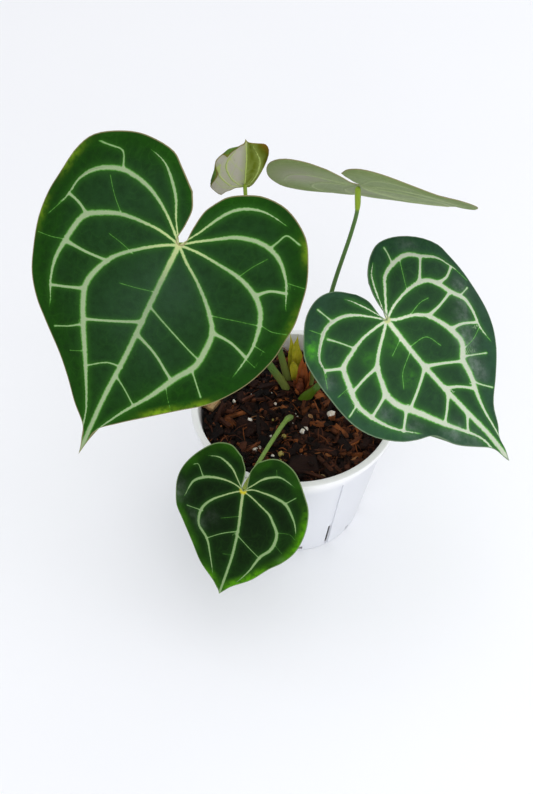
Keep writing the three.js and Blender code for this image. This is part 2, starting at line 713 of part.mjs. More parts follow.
function barkChip(next) {
  const size = [5 + 7 * next(), 3.5 + 4 * next(), 3 + 2.5 * next()];
  const corners = [];
  for (let i = 0; i < 8; i += 1) {
    const signs = [i & 1 ? 1 : -1, i & 2 ? 1 : -1, i & 4 ? 1 : -1];
    corners.push(new THREE.Vector3(...signs.map(
      (sign, axis) => sign * size[axis] / 2 * (0.72 + 0.45 * next()),
    )));
  }
  const faces = [[0, 2, 3, 1], [4, 5, 7, 6], [0, 1, 5, 4], [2, 6, 7, 3], [0, 4, 6, 2], [1, 3, 7, 5]];
  const triangles = faces.flatMap(([a, b, c, d]) => [[a, b, c], [a, c, d]]);
  return indexed(corners, triangles);
}

function makeSoil(holes) {
  const next = randomStream(CHIP_SEED);
  let soil = soilBody();
  for (let i = 0; i < CHIP_COUNT; i += 1) {
    const reach = Math.sqrt((i + 0.5) / CHIP_COUNT);
    const radius = CHIP_FREE_RADIUS + (MOUTH_RADIUS - 12 - CHIP_FREE_RADIUS) * reach;
    const angle = i * 2.39996 + 0.3 * next();
    const chip = barkChip(next);
    chip.rotateX((next() - 0.5) * 0.7);
    chip.rotateY((next() - 0.5) * 0.7);
    chip.rotateZ(next() * Math.PI);
    chip.translate(radius * Math.cos(angle), radius * Math.sin(angle), SOIL_LEVEL + next());
    soil = soil.add(toSolid(chip));
  }
  for (const hole of holes) soil = soil.subtract(toSolid(hole));
  return soil;
}

// Assembly
const model = new THREE.Group();
model.name = 'potted_crystal_anthurium';

function addPart(name, geometry, [colour, roughness]) {
  const material = new THREE.MeshStandardMaterial({ color: colour, roughness, metalness: 0 });
  const mesh = new THREE.Mesh(geometry, material);
  mesh.name = name;
  model.add(mesh);
}

addPart('pot', toGeometry(makePot()), COLOURS.pot);

const holes = [makeCrown(HOLE_GAP)];
for (const row of Object.values(STALKS)) holes.push(makeStalk(row, STALK_STEPS, HOLE_GAP));
for (const row of Object.values(SHEATHS)) holes.push(makeSheath(row, HOLE_GAP));
addPart('potting_mix', toGeometry(makeSoil(holes)), COLOURS.mix);

addPart('crown', makeCrown(0), COLOURS.crown);
for (const [name, row] of Object.entries(SHEATHS)) {
  addPart(name, makeSheath(row, 0), COLOURS.sheath);
}
for (const [name, row] of Object.entries(STALKS)) {
  addPart(name, makeStalk(row, STALK_STEPS, 0), COLOURS.stalk);
}

for (const [name, leaf] of Object.entries(BLADES)) {
  const wide = leaf.right.veins.length > 3;
  addPart(name, makeBlade(leaf, wide ? [1, 3, 2, 2, 2] : [1, 3, 2, 2], STEPS), COLOURS.blade);
}
addPart('blade_young', makeBlade(YOUNG_LEAF, [1, 2, 1], STEPS), COLOURS.youngBlade);

export default model;
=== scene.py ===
import math

import bpy
import numpy as np
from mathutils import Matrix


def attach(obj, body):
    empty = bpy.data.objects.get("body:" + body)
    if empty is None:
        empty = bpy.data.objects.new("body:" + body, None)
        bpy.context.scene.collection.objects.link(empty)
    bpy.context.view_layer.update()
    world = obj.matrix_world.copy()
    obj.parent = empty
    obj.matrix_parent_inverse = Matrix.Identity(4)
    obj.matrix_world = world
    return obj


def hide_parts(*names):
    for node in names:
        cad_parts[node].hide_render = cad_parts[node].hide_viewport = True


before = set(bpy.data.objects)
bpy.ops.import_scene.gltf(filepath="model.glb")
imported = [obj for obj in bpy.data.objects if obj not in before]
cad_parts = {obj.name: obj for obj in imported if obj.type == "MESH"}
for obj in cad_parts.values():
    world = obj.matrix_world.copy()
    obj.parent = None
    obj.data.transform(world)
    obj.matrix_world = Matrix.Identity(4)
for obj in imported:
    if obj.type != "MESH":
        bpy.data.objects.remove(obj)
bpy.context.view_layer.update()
mm = 0.001
print("frame loaded:", len(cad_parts), "nodes")

# Camera: the photograph's viewpoint, looking down at the plant from the front.
cameraView = {"lens": 50.0, "sensor": 36.0, "target": (-16.25, 0, 95.8), "distance": 635.5,
              "elevation": 49.2}


def makeCamera(view):
    data = bpy.data.cameras.new("camera")
    data.lens, data.sensor_width = view["lens"], view["sensor"]
    camera = bpy.data.objects.new("camera", data)
    bpy.context.scene.collection.objects.link(camera)
    tilt = math.radians(view["elevation"])
    x, y, z = view["target"]
    camera.location = (x * mm, (y - view["distance"] * math.cos(tilt)) * mm,
                       (z + view["distance"] * math.sin(tilt)) * mm)
    camera.rotation_euler = (math.pi / 2 - tilt, 0, 0)
    bpy.context.scene.camera = camera


makeCamera(cameraView)


# sRGB hex text to the linear colour that a shader socket takes.
def colour(text):
    part = np.array([int(text[i:i + 2], 16) for i in (1, 3, 5)]) / 255
    linear = np.where(part <= 0.04045, part / 12.92, ((part + 0.055) / 1.055) ** 2.4)
    return (*linear.tolist(), 1.0)


# A new material, and the function that adds a node to it: inputs are values, hex colours or
# other nodes' outputs, settings are the node's own, and out says which output comes back. Places
# are in metres, so that a pattern's Scale is how many of its features lie along a metre.
def painter(name):
    material = bpy.data.materials.new(name)
    material.use_nodes = True
    tree = material.node_tree
    tree.nodes.clear()

    def add(kind, inputs=(), out=0, **settings):
        node = tree.nodes.new("ShaderNode" + kind)
        for key, value in settings.items():
            setattr(node, key, value)
        for key, value in dict(inputs).items():
            if isinstance(value, bpy.types.NodeSocket):
                tree.links.new(value, node.inputs[key])
            else:
                isHex = isinstance(value, str)
                node.inputs[key].default_value = colour(value) if isHex else value
        return node.outputs[out] if len(node.outputs) else None

    return material, add


# The product of several shares, each kept between 0 and 1. A share is a number or a value, or it
# is three: a value and the two places on it between which the share rises smoothly from 0 to 1.
def shareOf(add, *shares):
    total = None
    for share in shares:
        if isinstance(share, tuple):
            share = add("MapRange", dict(enumerate(share)), interpolation_type="SMOOTHSTEP")
        both = {0: total, 1: share}
        total = share if total is None else add("Math", both, operation="MULTIPLY", use_clamp=True)
    return total


# Lays coats over a base colour one after another. A coat has its colour and then its shares.
def layer(add, base, *coats):
    for coat, *shares in coats:
        base = add("Mix", {0: shareOf(add, *shares), 6: base, 7: coat}, 2, data_type="RGBA")
    return base


# The last nodes of a material: a bump from a relief with its strength and its depth in metres, and
# the shader with its colour and its other values.
def finish(add, body, relief, strength, depth, values):
    bump = add("Bump", {"Height": relief, "Strength": strength, "Distance": depth})
    shader = add("BsdfPrincipled", {"Base Color": body, "Normal": bump, **values})
    add("OutputMaterial", {"Surface": shader})


# A mesh object from whole arrays: points in millimetres, faces as arrays of quads or triangles,
# and named values, one number or three for each point. Edges bent by more than sharp degrees
# are shaded as edges.
def makePiece(name, points, faces, material, node, slot, values=None, sharp=50):
    mesh = bpy.data.meshes.new(name)
    sizes = np.concatenate([np.full(len(part), part.shape[1]) for part in faces])
    corners = np.concatenate([part.ravel() for part in faces])
    used, corners = np.unique(corners, return_inverse=True)
    mesh.vertices.add(len(used))
    mesh.vertices.foreach_set("co", (np.asarray(points)[used] * mm).astype(np.float32).ravel())
    mesh.loops.add(len(corners))
    mesh.loops.foreach_set("vertex_index", corners.astype(np.int32))
    mesh.polygons.add(len(sizes))
    mesh.polygons.foreach_set("loop_start", np.concatenate([[0], np.cumsum(sizes)[:-1]]))
    mesh.polygons.foreach_set("use_smooth", np.ones(len(sizes), dtype=bool))
    mesh.update(calc_edges=True)
    for key, value in (values or {}).items():
        value = np.asarray(value, dtype=np.float32)[used]
        kind, field = ("FLOAT", "value") if value.ndim == 1 else ("FLOAT_VECTOR", "vector")
        mesh.attributes.new(key, kind, "POINT").data.foreach_set(field, value.ravel())
    mesh.set_sharp_from_angle(angle=math.radians(sharp))
    mesh.materials.append(material)
    piece = bpy.data.objects.new(name, mesh)
    bpy.context.scene.collection.objects.link(piece)
    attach(piece, "root")
    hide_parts(node)


# Points on a centripetal Catmull-Rom spline; where counts along its control points.
def splineAt(points, where):
    p = np.asarray(points, dtype=float)
    q = np.vstack([2 * p[0] - p[1], p, 2 * p[-1] - p[-2]])
    knot = np.concatenate([[0], np.cumsum(np.linalg.norm(np.diff(q, axis=0), axis=1) ** 0.5)])
    where = np.asarray(where, dtype=float)
    i = np.clip(np.floor(where).astype(int), 0, len(p) - 2) + 1
    k0, k1, k2, k3 = (knot[i + step][:, None] for step in (-1, 0, 1, 2))
    t = k1 + (k2 - k1) * (where - (i - 1))[:, None]
    a1 = ((k1 - t) * q[i - 1] + (t - k0) * q[i]) / (k1 - k0)
    a2 = ((k2 - t) * q[i] + (t - k1) * q[i + 1]) / (k2 - k1)
    a3 = ((k3 - t) * q[i + 1] + (t - k2) * q[i + 2]) / (k3 - k2)
    b1 = ((k2 - t) * a1 + (t - k0) * a2) / (k2 - k0)
    b2 = ((k3 - t) * a2 + (t - k1) * a3) / (k3 - k1)
    return ((k2 - t) * b1 + (t - k1) * b2) / (k2 - k1)


# The same spline at fractions of its length, which is measured in short chords.
def curveAt(points, fractions):
    chords = 24 * len(points)
    fine = splineAt(points, np.linspace(0, len(points) - 1, chords))
    run = np.concatenate([[0], np.cumsum(np.linalg.norm(np.diff(fine, axis=0), axis=1))])
    at = np.asarray(fractions) * run[-1]
    return np.stack([np.interp(at, run, fine[:, k]) for k in range(fine.shape[1])], axis=1)


def unit(vector):
    vector = np.asarray(vector, dtype=float)
    return vector / np.linalg.norm(vector, axis=-1, keepdims=True)


# 0 at low, 1 at high and a smooth rise between them, which may run downwards.
def smooth(low, high, value):
    x = np.clip((value - low) / (high - low), 0, 1)
    return x * x * (3 - 2 * x)


# Faces of a closed skin over rings of points: quads from ring to ring, and at both ends a fan to
# one more point, which comes after the rings' points.
def ringSkin(rings, sides):
    number = np.arange(rings * sides).reshape(rings, sides)
    after = np.roll(number, -1, axis=1)
    quads = np.stack([number[:-1], after[:-1], after[1:], number[1:]], axis=2).reshape(-1, 4)
    total = rings * sides
    first = np.stack([np.full(sides, total), after[0], number[0]], axis=1)
    last = np.stack([np.full(sides, total + 1), number[-1], after[-1]], axis=1)
    return [quads, first, last]


# Leaves

# Each blade has its own frame, in millimetres: x from the stalk joint to the tip, y to the right
# seen from above. veins leave the joint, margin goes from the tip to the inner end of the lobe,
# ends says where each vein arrives on it, and strengths gives each vein's share of the full width
# and the fraction of its length where it fades out. cross holds the veins between them, each with
# its strength, 3 strong to 1 faint. The patches are x, y, radius and strength: the dust patches
# are a grey bloom of dust, but on the large leaf a painted sheen over its middle; the bright
# patches are painted light shining through thin yellow-green tissue, and flush is reddish young
# tissue. bloomSide spreads the bloom over one half of the leaf, and roll says where the margin is
# still rolled over.
largeLeaf = {
    "node": "blade_left", "joint": (-56.6, -30, 237.8), "normal": (-0.19, -0.86, 0.47),
    "tipward": (-0.443, -0.353, -0.824), "halfWidth": 65, "droop": 8, "lobeDroop": 3,
    "fold": 0.16, "arch": 7, "wave": 1.6, "veinWidth": 1.35, "quilt": 1.35,
    "midrib": [(30, -0.3), (60, -0.3), (90, -1.5), (110, -1.5)],
    "right": {
        "veins": [
            [(5, 6), (11, 15), (20, 25), (30, 32), (40, 33), (50, 32), (60, 26.5), (76, 19),
             (92, 10)],
            [(-1.5, 10), (-1.5, 20), (0, 33), (5, 43), (12, 48.5), (27, 52), (45, 50.5),
             (55, 48)],
            [(-5, 6), (-11, 14), (-17, 23), (-19.5, 34), (-17, 43), (-9, 51), (-2, 54.5),
             (5, 58)],
            [(-10, 6), (-20, 11), (-27, 16), (-31.5, 23), (-33, 31), (-32, 40)]],
        "margin": [
            (127.5, -1.3), (118, 0.2), (110, 1.6), (100, 10), (90, 19.5), (75, 35), (65, 46),
            (55, 53.5), (45, 59), (30, 63.5), (20, 64.2), (10, 64.5), (0, 63), (-10, 61),
            (-20, 57), (-31, 50), (-38.5, 37), (-38.5, 25), (-35, 17), (-30, 10), (-25, 6.5)],
        "strengths": [(1.0, 1), (0.85, 0.82), (0.75, 0.9), (0.5, 0.86)],
        "ends": (0, 2, 6, 11, 15, 20), "sinus": [(-1, 1.8), (-10, 2.5), (-20, 4)]},
    "left": {
        "veins": [
            [(4, -7), (10, -15), (20, -25), (30, -30), (40, -32), (50, -29), (57, -26),
             (78, -16), (100, -7)],
            [(-2, -10), (-2, -18), (0, -30), (5, -40), (10, -46), (20, -49), (37, -51),
             (48, -49), (58, -45)],
            [(-6, -6), (-12, -13), (-17, -22), (-19, -32), (-18, -40), (-12, -50), (-4, -55.5),
             (7, -58), (15, -62)],
            [(-10, -6), (-20, -11), (-27, -17), (-31, -22), (-33, -30), (-33, -37)]],
        "margin": [
            (127.5, -1.3), (118, -3), (110, -5), (100, -14), (90, -22), (80, -31), (68, -44),
            (60, -52), (50, -59), (40, -63), (24, -67.4), (10, -68), (0, -66.5), (-15, -63.5),
            (-25, -58), (-35, -43), (-38, -33), (-37.5, -20), (-33, -14), (-25, -5)],
        "strengths": [(1.0, 1), (0.9, 0.93), (0.8, 0.86), (0.5, 0.78)],
        "ends": (0, 2, 6, 10, 15, 19), "sinus": [(-1, -1.8), (-10, -1.2), (-18, -1.4)]},
    "cross": [
        (1, [(23, 27), (19, 40), (17, 49)]), (3, [(30, 32), (30.5, 42), (34, 51)]),
        (2, [(34, 0), (39, 14), (46, 32)]), (3, [(50, 0), (54, 12), (62, 24)]),
        (2, [(52, 31), (58, 36.5), (63, 41)]), (1, [(66, 23), (72, 27), (77, 31)]),
        (2, [(76, 0), (80, 7), (85, 13)]), (1, [(0, 31), (-8, 35), (-14, 39)]),
        (3, [(4, 42), (-1, 47), (-3, 54)]), (2, [(-19, 38), (-24, 40), (-28, 42), (-27, 49)]),
        (1, [(16, 50), (17, 57), (16, 63)]), (1, [(27, 53), (28, 58)]),
        (1, [(35, 52), (37, 57)]), (1, [(-8, 53), (-9, 60)]),
        (3, [(26, -49), (25, -38), (23.5, -27)]), (3, [(42, -32), (46, -40), (50, -48)]),
        (3, [(43, 0), (49, -12), (56, -26)]), (1, [(26, 0), (28, -8), (30, -17)]),
        (2, [(70, 0), (71, -7), (78, -16)]), (3, [(9, -45), (6, -51), (5, -57)]),
        (1, [(14, -18), (12, -25), (11, -31)]), (1, [(-1, -31), (-6, -36), (-13, -42)]),
        (2, [(-19, -38), (-26, -42), (-25, -48), (-24, -53)]),
        (2, [(60, -27), (64, -32), (68, -38)]), (1, [(72, -21), (75, -26)]),
        (1, [(26, -51), (28, -57), (30, -64)]), (1, [(8, -58), (19, -63)])],
    # on this leaf the dust patches are a painted sheen over the middle of the blade
    "dustAndSheen": [(20, 4, 17, 0.7), (40, -10, 14, 0.3), (52, 4, 14, 0.25), (-8, -30, 20, 0.15)],
    "paintedBacklight": [(82, 27, 9, 1.0), (68, 43, 7, 0.6), (-10, -65, 9, 0.7), (-26, 54, 6, 0.6),
               (10, 64, 8, 0.4), (20, -67, 8, 0.5)],
}
rightLeaf = {
    "node": "blade_right", "joint": (44.9, -20, 178.8), "normal": (0.27, -0.5, 0.82),
    "tipward": (0.659, -0.526, -0.538), "halfWidth": 52, "droop": 6, "lobeDroop": 3,
    "fold": 0.14, "arch": 6, "wave": 1.4, "veinWidth": 1.5, "quilt": 1.1,
    "midrib": [(20, -1), (40, -0.5), (60, 1), (80, 3)],
    "right": {
        "veins": [
            [(3, 4), (7, 12), (12, 18), (20, 22), (28, 24), (35, 24), (42, 18), (50, 16),
             (65, 10.5)],
            [(-3, 8), (-4, 16), (-3.5, 25), (-1, 32), (4, 36), (12, 39), (20, 43), (27, 42),
             (37, 38.5)],
            [(-5, 4), (-12, 10), (-17, 15), (-19, 22), (-18, 33), (-12, 40), (-6, 47), (2, 51)],
            [(-9, 3.5), (-17, 7), (-23, 11)]],
        "margin": [
            (97.5, 3), (91, 5.2), (85, 7.5), (80, 11), (70, 16), (60, 27), (50, 38),
            (40, 46.5), (30, 52), (14, 55.6), (6, 56), (-3, 55.2), (-10, 54), (-20, 47),
            (-29, 35), (-32, 25), (-30, 18), (-25, 11), (-20, 6.5)],
        "strengths": [(1.05, 1), (0.85, 0.95), (0.8, 0.9), (0.3, 0.75)],
        "ends": (0, 2, 6, 9, 15, 18), "sinus": [(-1, 1.5), (-6, 1.8), (-14, 3.5)]},
    "left": {
        "veins": [
            [(4, -7), (8, -14), (14, -21), (22, -25), (28, -27), (35, -26), (42, -22),
             (59, -13), (78, -2)],
            [(-1, -8), (-1.5, -18), (0, -26), (3, -34.5), (12, -38.5), (22, -41.5), (31, -40),
             (42, -35.5), (53, -27)],
            [(-7, -6), (-13, -12), (-17, -19), (-17.5, -28), (-13, -36), (-8, -41), (-1, -43)],
            [(-8, -3), (-15, -6), (-20, -8.5), (-25, -12.5)]],
        "margin": [
            (97.5, 3), (92, 1.4), (86, -0.8), (80, -6.5), (75, -11.5), (70, -15.5), (60, -21),
            (55, -30), (50, -37), (40, -45), (30, -49), (20, -50), (10, -49.5), (0, -48.5),
            (-13, -45.5), (-20, -40), (-28.5, -30.5), (-31.5, -20), (-29, -12), (-20, -3)],
        "strengths": [(1.05, 1), (0.9, 0.93), (0.65, 0.86), (0.28, 0.65)],
        "ends": (0, 2, 6, 12, 17, 19), "sinus": [(-1, -1.5), (-6, -1.2), (-13, -0.8)]},
    "cross": [
        (2, [(-19, 23), (-24, 25), (-28, 26)]), (1, [(-18, 28), (-11, 23), (-4, 19)]),
        (3, [(13, 19), (13, 28), (12, 38)]), (3, [(4, 36), (5, 43), (3, 51)]),
        (1, [(6, 12), (5, 20), (6, 25)]), (1, [(18, 0), (20, 10), (28, 13)]),
        (3, [(26, 24), (28, 31), (33, 39)]), (3, [(31, 0), (36, 8), (42, 17)]),
        (2, [(41, 20), (48, 31)]), (3, [(46, 0), (50, 6), (56, 12)]),
        (2, [(54, 15), (59, 18), (63, 21)]), (2, [(17, 42), (17, 50)]),
        (3, [(-3, 28), (-8, 34), (-12, 39)]), (1, [(4, 52), (14, 54)]),
        (2, [(-18, -23), (-27, -24)]), (1, [(-16, -31), (-22, -34)]),
        (2, [(-13, -31), (-8, -28), (-1, -24)]), (3, [(14, -21), (14, -30), (15, -39)]),
        (3, [(27, -27), (29, -33), (31, -40)]), (2, [(21, -41), (23, -48)]),
        (1, [(12, -39), (12, -46)]), (3, [(31, -1), (36, -11), (41, -22)]),
        (1, [(20, -2), (25, -13), (31, -18)]), (1, [(12, -2), (15, -11)]),
        (3, [(40, -24), (47, -32)]), (3, [(49, 0), (54, -6), (59, -13)]),
        (3, [(64, 1), (70, -5)]), (3, [(3, -35), (-2, -42)]), (1, [(-2, -43), (5, -47)]),
        (1, [(38, 22), (38, 30), (36, 38)])],
    "dustAndSheen": [(14, 46, 5, 0.6), (21, 40, 4.5, 0.6), (27, 33, 4.5, 0.6), (33, 27, 4.5, 0.7),
             (40, 24, 4.5, 0.7), (48, 21, 4.5, 0.8), (54, 20, 4, 0.6), (36, 30, 4, 0.4),
             (34, -34, 4, 0.5), (50, -28, 5, 0.5), (66, -12, 6, 0.6), (76, -6, 5, 0.5),
             (3, -46, 4, 0.5), (-22, 38, 5, 0.4)],
    "paintedBacklight": [(-13, -41, 2.8, 1.2), (-17, -38, 2.6, 0.7), (30, -12, 4, 0.45), (8, -22, 4, 0.35),
               (20, -25, 2.6, 0.35), (12, -5, 7, 0.3)],
}
frontLeaf = {
    "node": "blade_front", "joint": (-28.7, -70, 100.4), "normal": (-0.31, -0.79, 0.52),
    "tipward": (-0.216, -0.476, -0.852), "halfWidth": 38, "droop": 4, "lobeDroop": 2,
    "fold": 0.14, "arch": 4, "wave": 0.8, "veinWidth": 0.85, "quilt": 0.8,
    "midrib": [(10, 1), (20, 2), (30, 2.3), (40, 2), (50, 1), (58, 0)],
    "right": {
        "veins": [
            [(2, 6), (5, 12), (8, 17), (12, 20), (17, 23), (22, 23.5), (28, 22), (34, 17.5),
             (45, 13)],
            [(-2.5, 5), (-3, 12), (-2.5, 18), (-0.5, 24), (4, 28), (9, 31), (15, 33)],
            [(-5, 4.5), (-10, 9), (-13, 14), (-14, 18), (-12, 24)]],
        "margin": [
            (66, -1), (62.5, 1.8), (59, 5), (50, 15.5), (40, 23.5), (34, 29.5), (26, 34.8),
            (17, 37.2), (9, 37.5), (0, 36), (-7, 32.5), (-17, 26), (-21, 21), (-23, 15),
            (-22, 10), (-18, 4)],
        "strengths": [(0.95, 0.96), (0.85, 0.82), (0.65, 0.82)],
        "ends": (0, 2, 6, 10, 15), "sinus": [(-1, 1.3), (-6, 1.4), (-12, 1.5)]},
    "left": {
        "veins": [
            [(2, -4), (6, -10), (11, -16), (17, -20), (22, -21), (28, -20), (34, -14),
             (45, -9.5)],
            [(-2, -4), (-3, -11), (-2, -18), (0, -23), (4, -28), (8, -30), (15, -32)],
            [(-5, -4), (-10, -8), (-13, -13), (-14, -17), (-13, -22)]],
        "margin": [
            (66, -1), (63, -2.2), (59, -5), (50, -15), (40, -22.5), (30, -30.5), (23, -36),
            (15, -38), (8, -38.6), (0, -37), (-10, -31.5), (-19, -23), (-21.5, -18), (-22, -12),
            (-18, -5)],
        "strengths": [(0.9, 0.95), (0.85, 0.85), (0.62, 0.78)],
        "ends": (0, 2, 6, 10, 14), "sinus": [(-1, -1.2), (-6, -1.1), (-12, -1.5)]},
    "cross": [
        (2, [(26, 2), (30, 9), (35, 17)]), (1, [(17, 23), (16, 30), (18, 33)]),
        (2, [(-1, 24), (-5, 28)]), (1, [(24, 23), (28, 28)]), (1, [(-14, 16), (-17, 15)]),
        (2, [(19, -20), (20, -29)]), (2, [(24, 2), (28, -6), (34, -14)]),
        (1, [(15, 1), (19, -8)]), (1, [(39, 2), (40, -3)]),
        (2, [(-1, -24), (-6, -28), (-5, -30)])],
    "dustAndSheen": [(16, -36, 4.5, 0.9), (10, -36, 4, 0.6), (23, -25, 3, 0.6), (27, -19, 3, 0.7),
             (20, -14, 4, 0.3), (33, 29, 3, 0.4)],
    "paintedBacklight": [(5, 37, 6, 0.7), (15, 38, 6, 0.9), (25, 36, 6, 0.9), (34, 30, 5, 0.6),
               (45, 20, 6, 1.0), (51, 14, 6, 1.2), (58, 6, 6, 1.2), (30, -30, 5, 0.4),
               (40, -23, 4, 0.5), (56, -8, 5, 0.9)],
}
backLeaf = {
    "node": "blade_back", "joint": (29.6, 24.3, 230.1), "normal": (0.17, 0.684, 0.709),
    "tipward": (0.589, 0.507, -0.63), "halfWidth": 49, "droop": -9, "lobeDroop": -4,
    "fold": 0.04, "arch": 2.6, "wave": 1.2, "veinWidth": 0.9, "quilt": 0.6,
    "midrib": [(34, 0.5), (62, 0), (90, -1)],
    "right": {
        "veins": [
            [(9, 10.5), (19, 20), (31.5, 25), (45, 25), (62, 17.7), (83, 9)],
            [(-1, 11.5), (0, 24), (8, 33.5), (22.5, 39), (38, 38.7), (49.5, 36.8)],
            [(-9, 9.5), (-16, 18), (-17, 29.6), (-8, 40), (2, 44.5)]],
        "margin": [
            (116, -1), (108, 0.5), (101, 2.4), (90, 8.6), (81, 15.3), (67.5, 27.2), (56, 36.8),
            (45, 43.5), (29, 48.3), (11, 49.5), (0, 48.4), (-18, 43.5), (-31.5, 33.5),
            (-35, 23), (-31, 12.4), (-22.5, 4.8)],
        "strengths": [(1.0, 1), (0.8, 0.95), (0.6, 0.8)],
        "ends": (0, 2, 6, 10, 15), "sinus": [(-1, 1.6), (-8, 1.9), (-16, 2.9)]},
    "left": {
        "veins": [
            [(9, -10.5), (19, -20), (31.5, -24), (45, -24), (62, -17.2), (83, -8.6)],
            [(-1, -11.5), (0, -24), (7, -33.5), (20, -38.2), (36, -39.2), (49.5, -36.3)],
            [(-9, -9.5), (-16, -18), (-17, -29.6), (-9, -40), (2, -45)]],
        "margin": [
            (116, -1), (108, -2.4), (101, -4.3), (90, -10.5), (81, -17.2), (67.5, -28.7),
            (56, -37.8), (45, -44.5), (29, -49.2), (11, -51), (0, -49.7), (-18, -44.5),
            (-31.5, -33.5), (-35, -24), (-31.5, -13.4), (-22.5, -3.8)],
        "strengths": [(1.0, 1), (0.8, 0.95), (0.6, 0.8)],
        "ends": (0, 2, 6, 10, 15), "sinus": [(-1, -1.6), (-8, -1.5), (-16, -1.9)]},
    "cross": [
        (3, [(29, 24), (30, 32), (34, 39)]), (3, [(45, 0), (49, 11), (56, 21)]),
        (3, [(66, 0), (71, 7), (75, 12)]), (2, [(2, 27), (-6, 32), (-9, 39)]),
        (1, [(25, 0), (29, 11)]), (2, [(52, 23), (59, 30)]), (1, [(13, 36), (13, 44)]),
        (3, [(26, -23), (25, -31), (24, -39)]), (3, [(39, 0), (45, -11), (53, -21)]),
        (3, [(62, 0), (68, -7), (72, -13)]), (2, [(3, -29), (-4, -33), (-8, -40)]),
        (1, [(17, 0), (21, -11)]), (2, [(47, -24), (53, -32)]), (1, [(18, -38), (19, -46)])],
    "dustAndSheen": [(-12, 28, 14, 0.7), (30, 14, 16, 0.3)],
    "paintedBacklight": [(68, 24, 8, 0.4), (22, -46, 8, 0.4)],
}
youngLeaf = {
    "node": "blade_young", "joint": (-27.6, 30, 224), "normal": (-0.15, 0.985, -0.04),
    "tipward": (0.08, 0.05, 0.995), "halfWidth": 16, "droop": -1, "lobeDroop": 1,
    "fold": 0.3, "arch": -1, "wave": 0.6, "veinWidth": 0.42, "quilt": 0.35,
    "midrib": [(9, 0.1), (18, 0)],
    "right": {
        "veins": [[(2.7, 3.2), (6.3, 5.6), (10.6, 6.9), (15.4, 7), (19.5, 5.2)]],
        "margin": [
            (27.4, -0.9), (26.1, 0), (25.6, 1.8), (24.9, 5.6), (24, 9.4), (20.7, 11.3),
            (15.3, 10.9), (7.8, 8.4), (3.2, 6.2), (0.6, 4.6), (-0.7, 2.9)],
        "strengths": [(1.0, 0.96)],
        "ends": (0, 2, 10), "sinus": [(-0.2, 1.2)]},
    "left": {
        "veins": [
            [(4.2, -6.1), (7.9, -8.4), (11.6, -9.7), (15.5, -9), (19, -6.8)],
            [(0.8, -6.9), (3.4, -10.2), (6.2, -12.6), (9.9, -13.6), (13.5, -13.3)]],
        "margin": [
            (27.4, -0.9), (24.8, -1.7), (23.1, -3.9), (21.9, -9), (19.4, -11.4),
            (15.3, -14.6), (9.9, -15.5), (3.9, -17), (0.1, -16.6), (-3.4, -14.5),
            (-5.6, -11.4), (-3.8, -9), (-2.6, -6.5), (-0.9, -4.4)],
        "strengths": [(1.0, 0.95), (0.85, 0.95)],
        "ends": (0, 2, 5, 13), "sinus": [(-0.4, -1.8)]},
    "cross": [
        (1, [(8.6, 1.4), (12.5, 2.7), (19, 5)]), (2, [(9.9, -1.8), (13.3, -5.6), (16.1, -7.8)]),
        (2, [(-1.1, -6.3), (-0.6, -10.8), (2.2, -13.5), (5, -14.7)]),
        (1, [(5, 0.3), (8, 4)]), (1, [(14, 7), (18, 9.5)]), (1, [(6, 5.6), (12, 9)])],
    "bloomSide": -1,
    "paintedBacklight": [(20.5, -9, 2.5, 0.9), (8, -15.5, 2, 0.8)],
    "flush": [(24.5, 9.5, 2.6, 1.0), (20.5, 11.8, 2, 0.9), (15, 11.4, 1.6, 0.6)],
    "roll": {"width": 3.4, "radius": 0.7, "extra": 4.6,
             "places": [(-1.35, 0.32, 1.0), (-2.2, 0.16, 0.8)]},
}

# How every blade is finished, in millimetres: its thickness at the midrib and at the margin, the
# way from there over which it thins, the depth of the midrib and of the other ribs below, the
# height of the veins above, the roundness of the fold, the lobes' share of the length, how far
# from a vein its distance is measured, and the mesh rows from one main vein to the next. The cross
# veins' width and paleness are shares of a main vein's, for the strengths 1 to 3.
bladeForm = {"thick": 0.8, "thin": 0.35, "taper": 1.6, "midrib": 1.5, "rib": 1.0, "raised": 0.12,
             "foldRound": 3, "lobe": 0.32, "reach": 12.0, "rows": 24}
crossShare = (0.22, 0.46, 0.66)
crossPale = (0.34, 0.62, 1.0)


# One side of a blade on the grid (u, t): u counts the veins from the midrib to the sinus edge,
# t runs from the joint to the margin. Between two veins the points are mixed by u, and then
# moved by t cubed so that t = 1 lies on the margin.
def bladeSide(leaf, side, sign, steps):
    t = np.linspace(0, 1, steps + 1)
    ends = [side["margin"][end] for end in side["ends"]]
    inner = [leaf["midrib"], *side["veins"], side["sinus"]]
    lines = [[(0, 0), *points, end] for points, end in zip(inner, ends)]
    even = np.stack([curveAt(line, t) for line in lines])
    count = len(lines) - 1
    within = np.arange(bladeForm["rows"]) / bladeForm["rows"]
    within = within - 0.09 * np.sin(2 * math.pi * within)
    u = np.append((np.arange(count)[:, None] + within).ravel(), count)
    strip = np.minimum(u.astype(int), count - 1)
    part = (u - strip)[:, None]
    at = np.asarray(side["ends"])
    edge = splineAt(side["margin"], at[strip] + (at[strip + 1] - at[strip]) * part[:, 0])
    mixed = even[strip] * (1 - part[..., None]) + even[strip + 1] * part[..., None]
    flat = mixed + t[None, :, None] ** 3 * (edge - mixed[:, -1])[:, None, :]
    wave = leaf["wave"] * t[None] ** 4 * np.sin(u * 3.4 + sign)[:, None]
    wave = wave * np.minimum(1, u * 1.5)[:, None]
    border = np.concatenate([curveAt(side["margin"], np.linspace(0, 1, 160)),
                             curveAt(lines[-1], np.linspace(1, 0, 40))[1:]])
    return {"flat": flat, "wave": wave, "lines": lines, "border": border, "u": u}


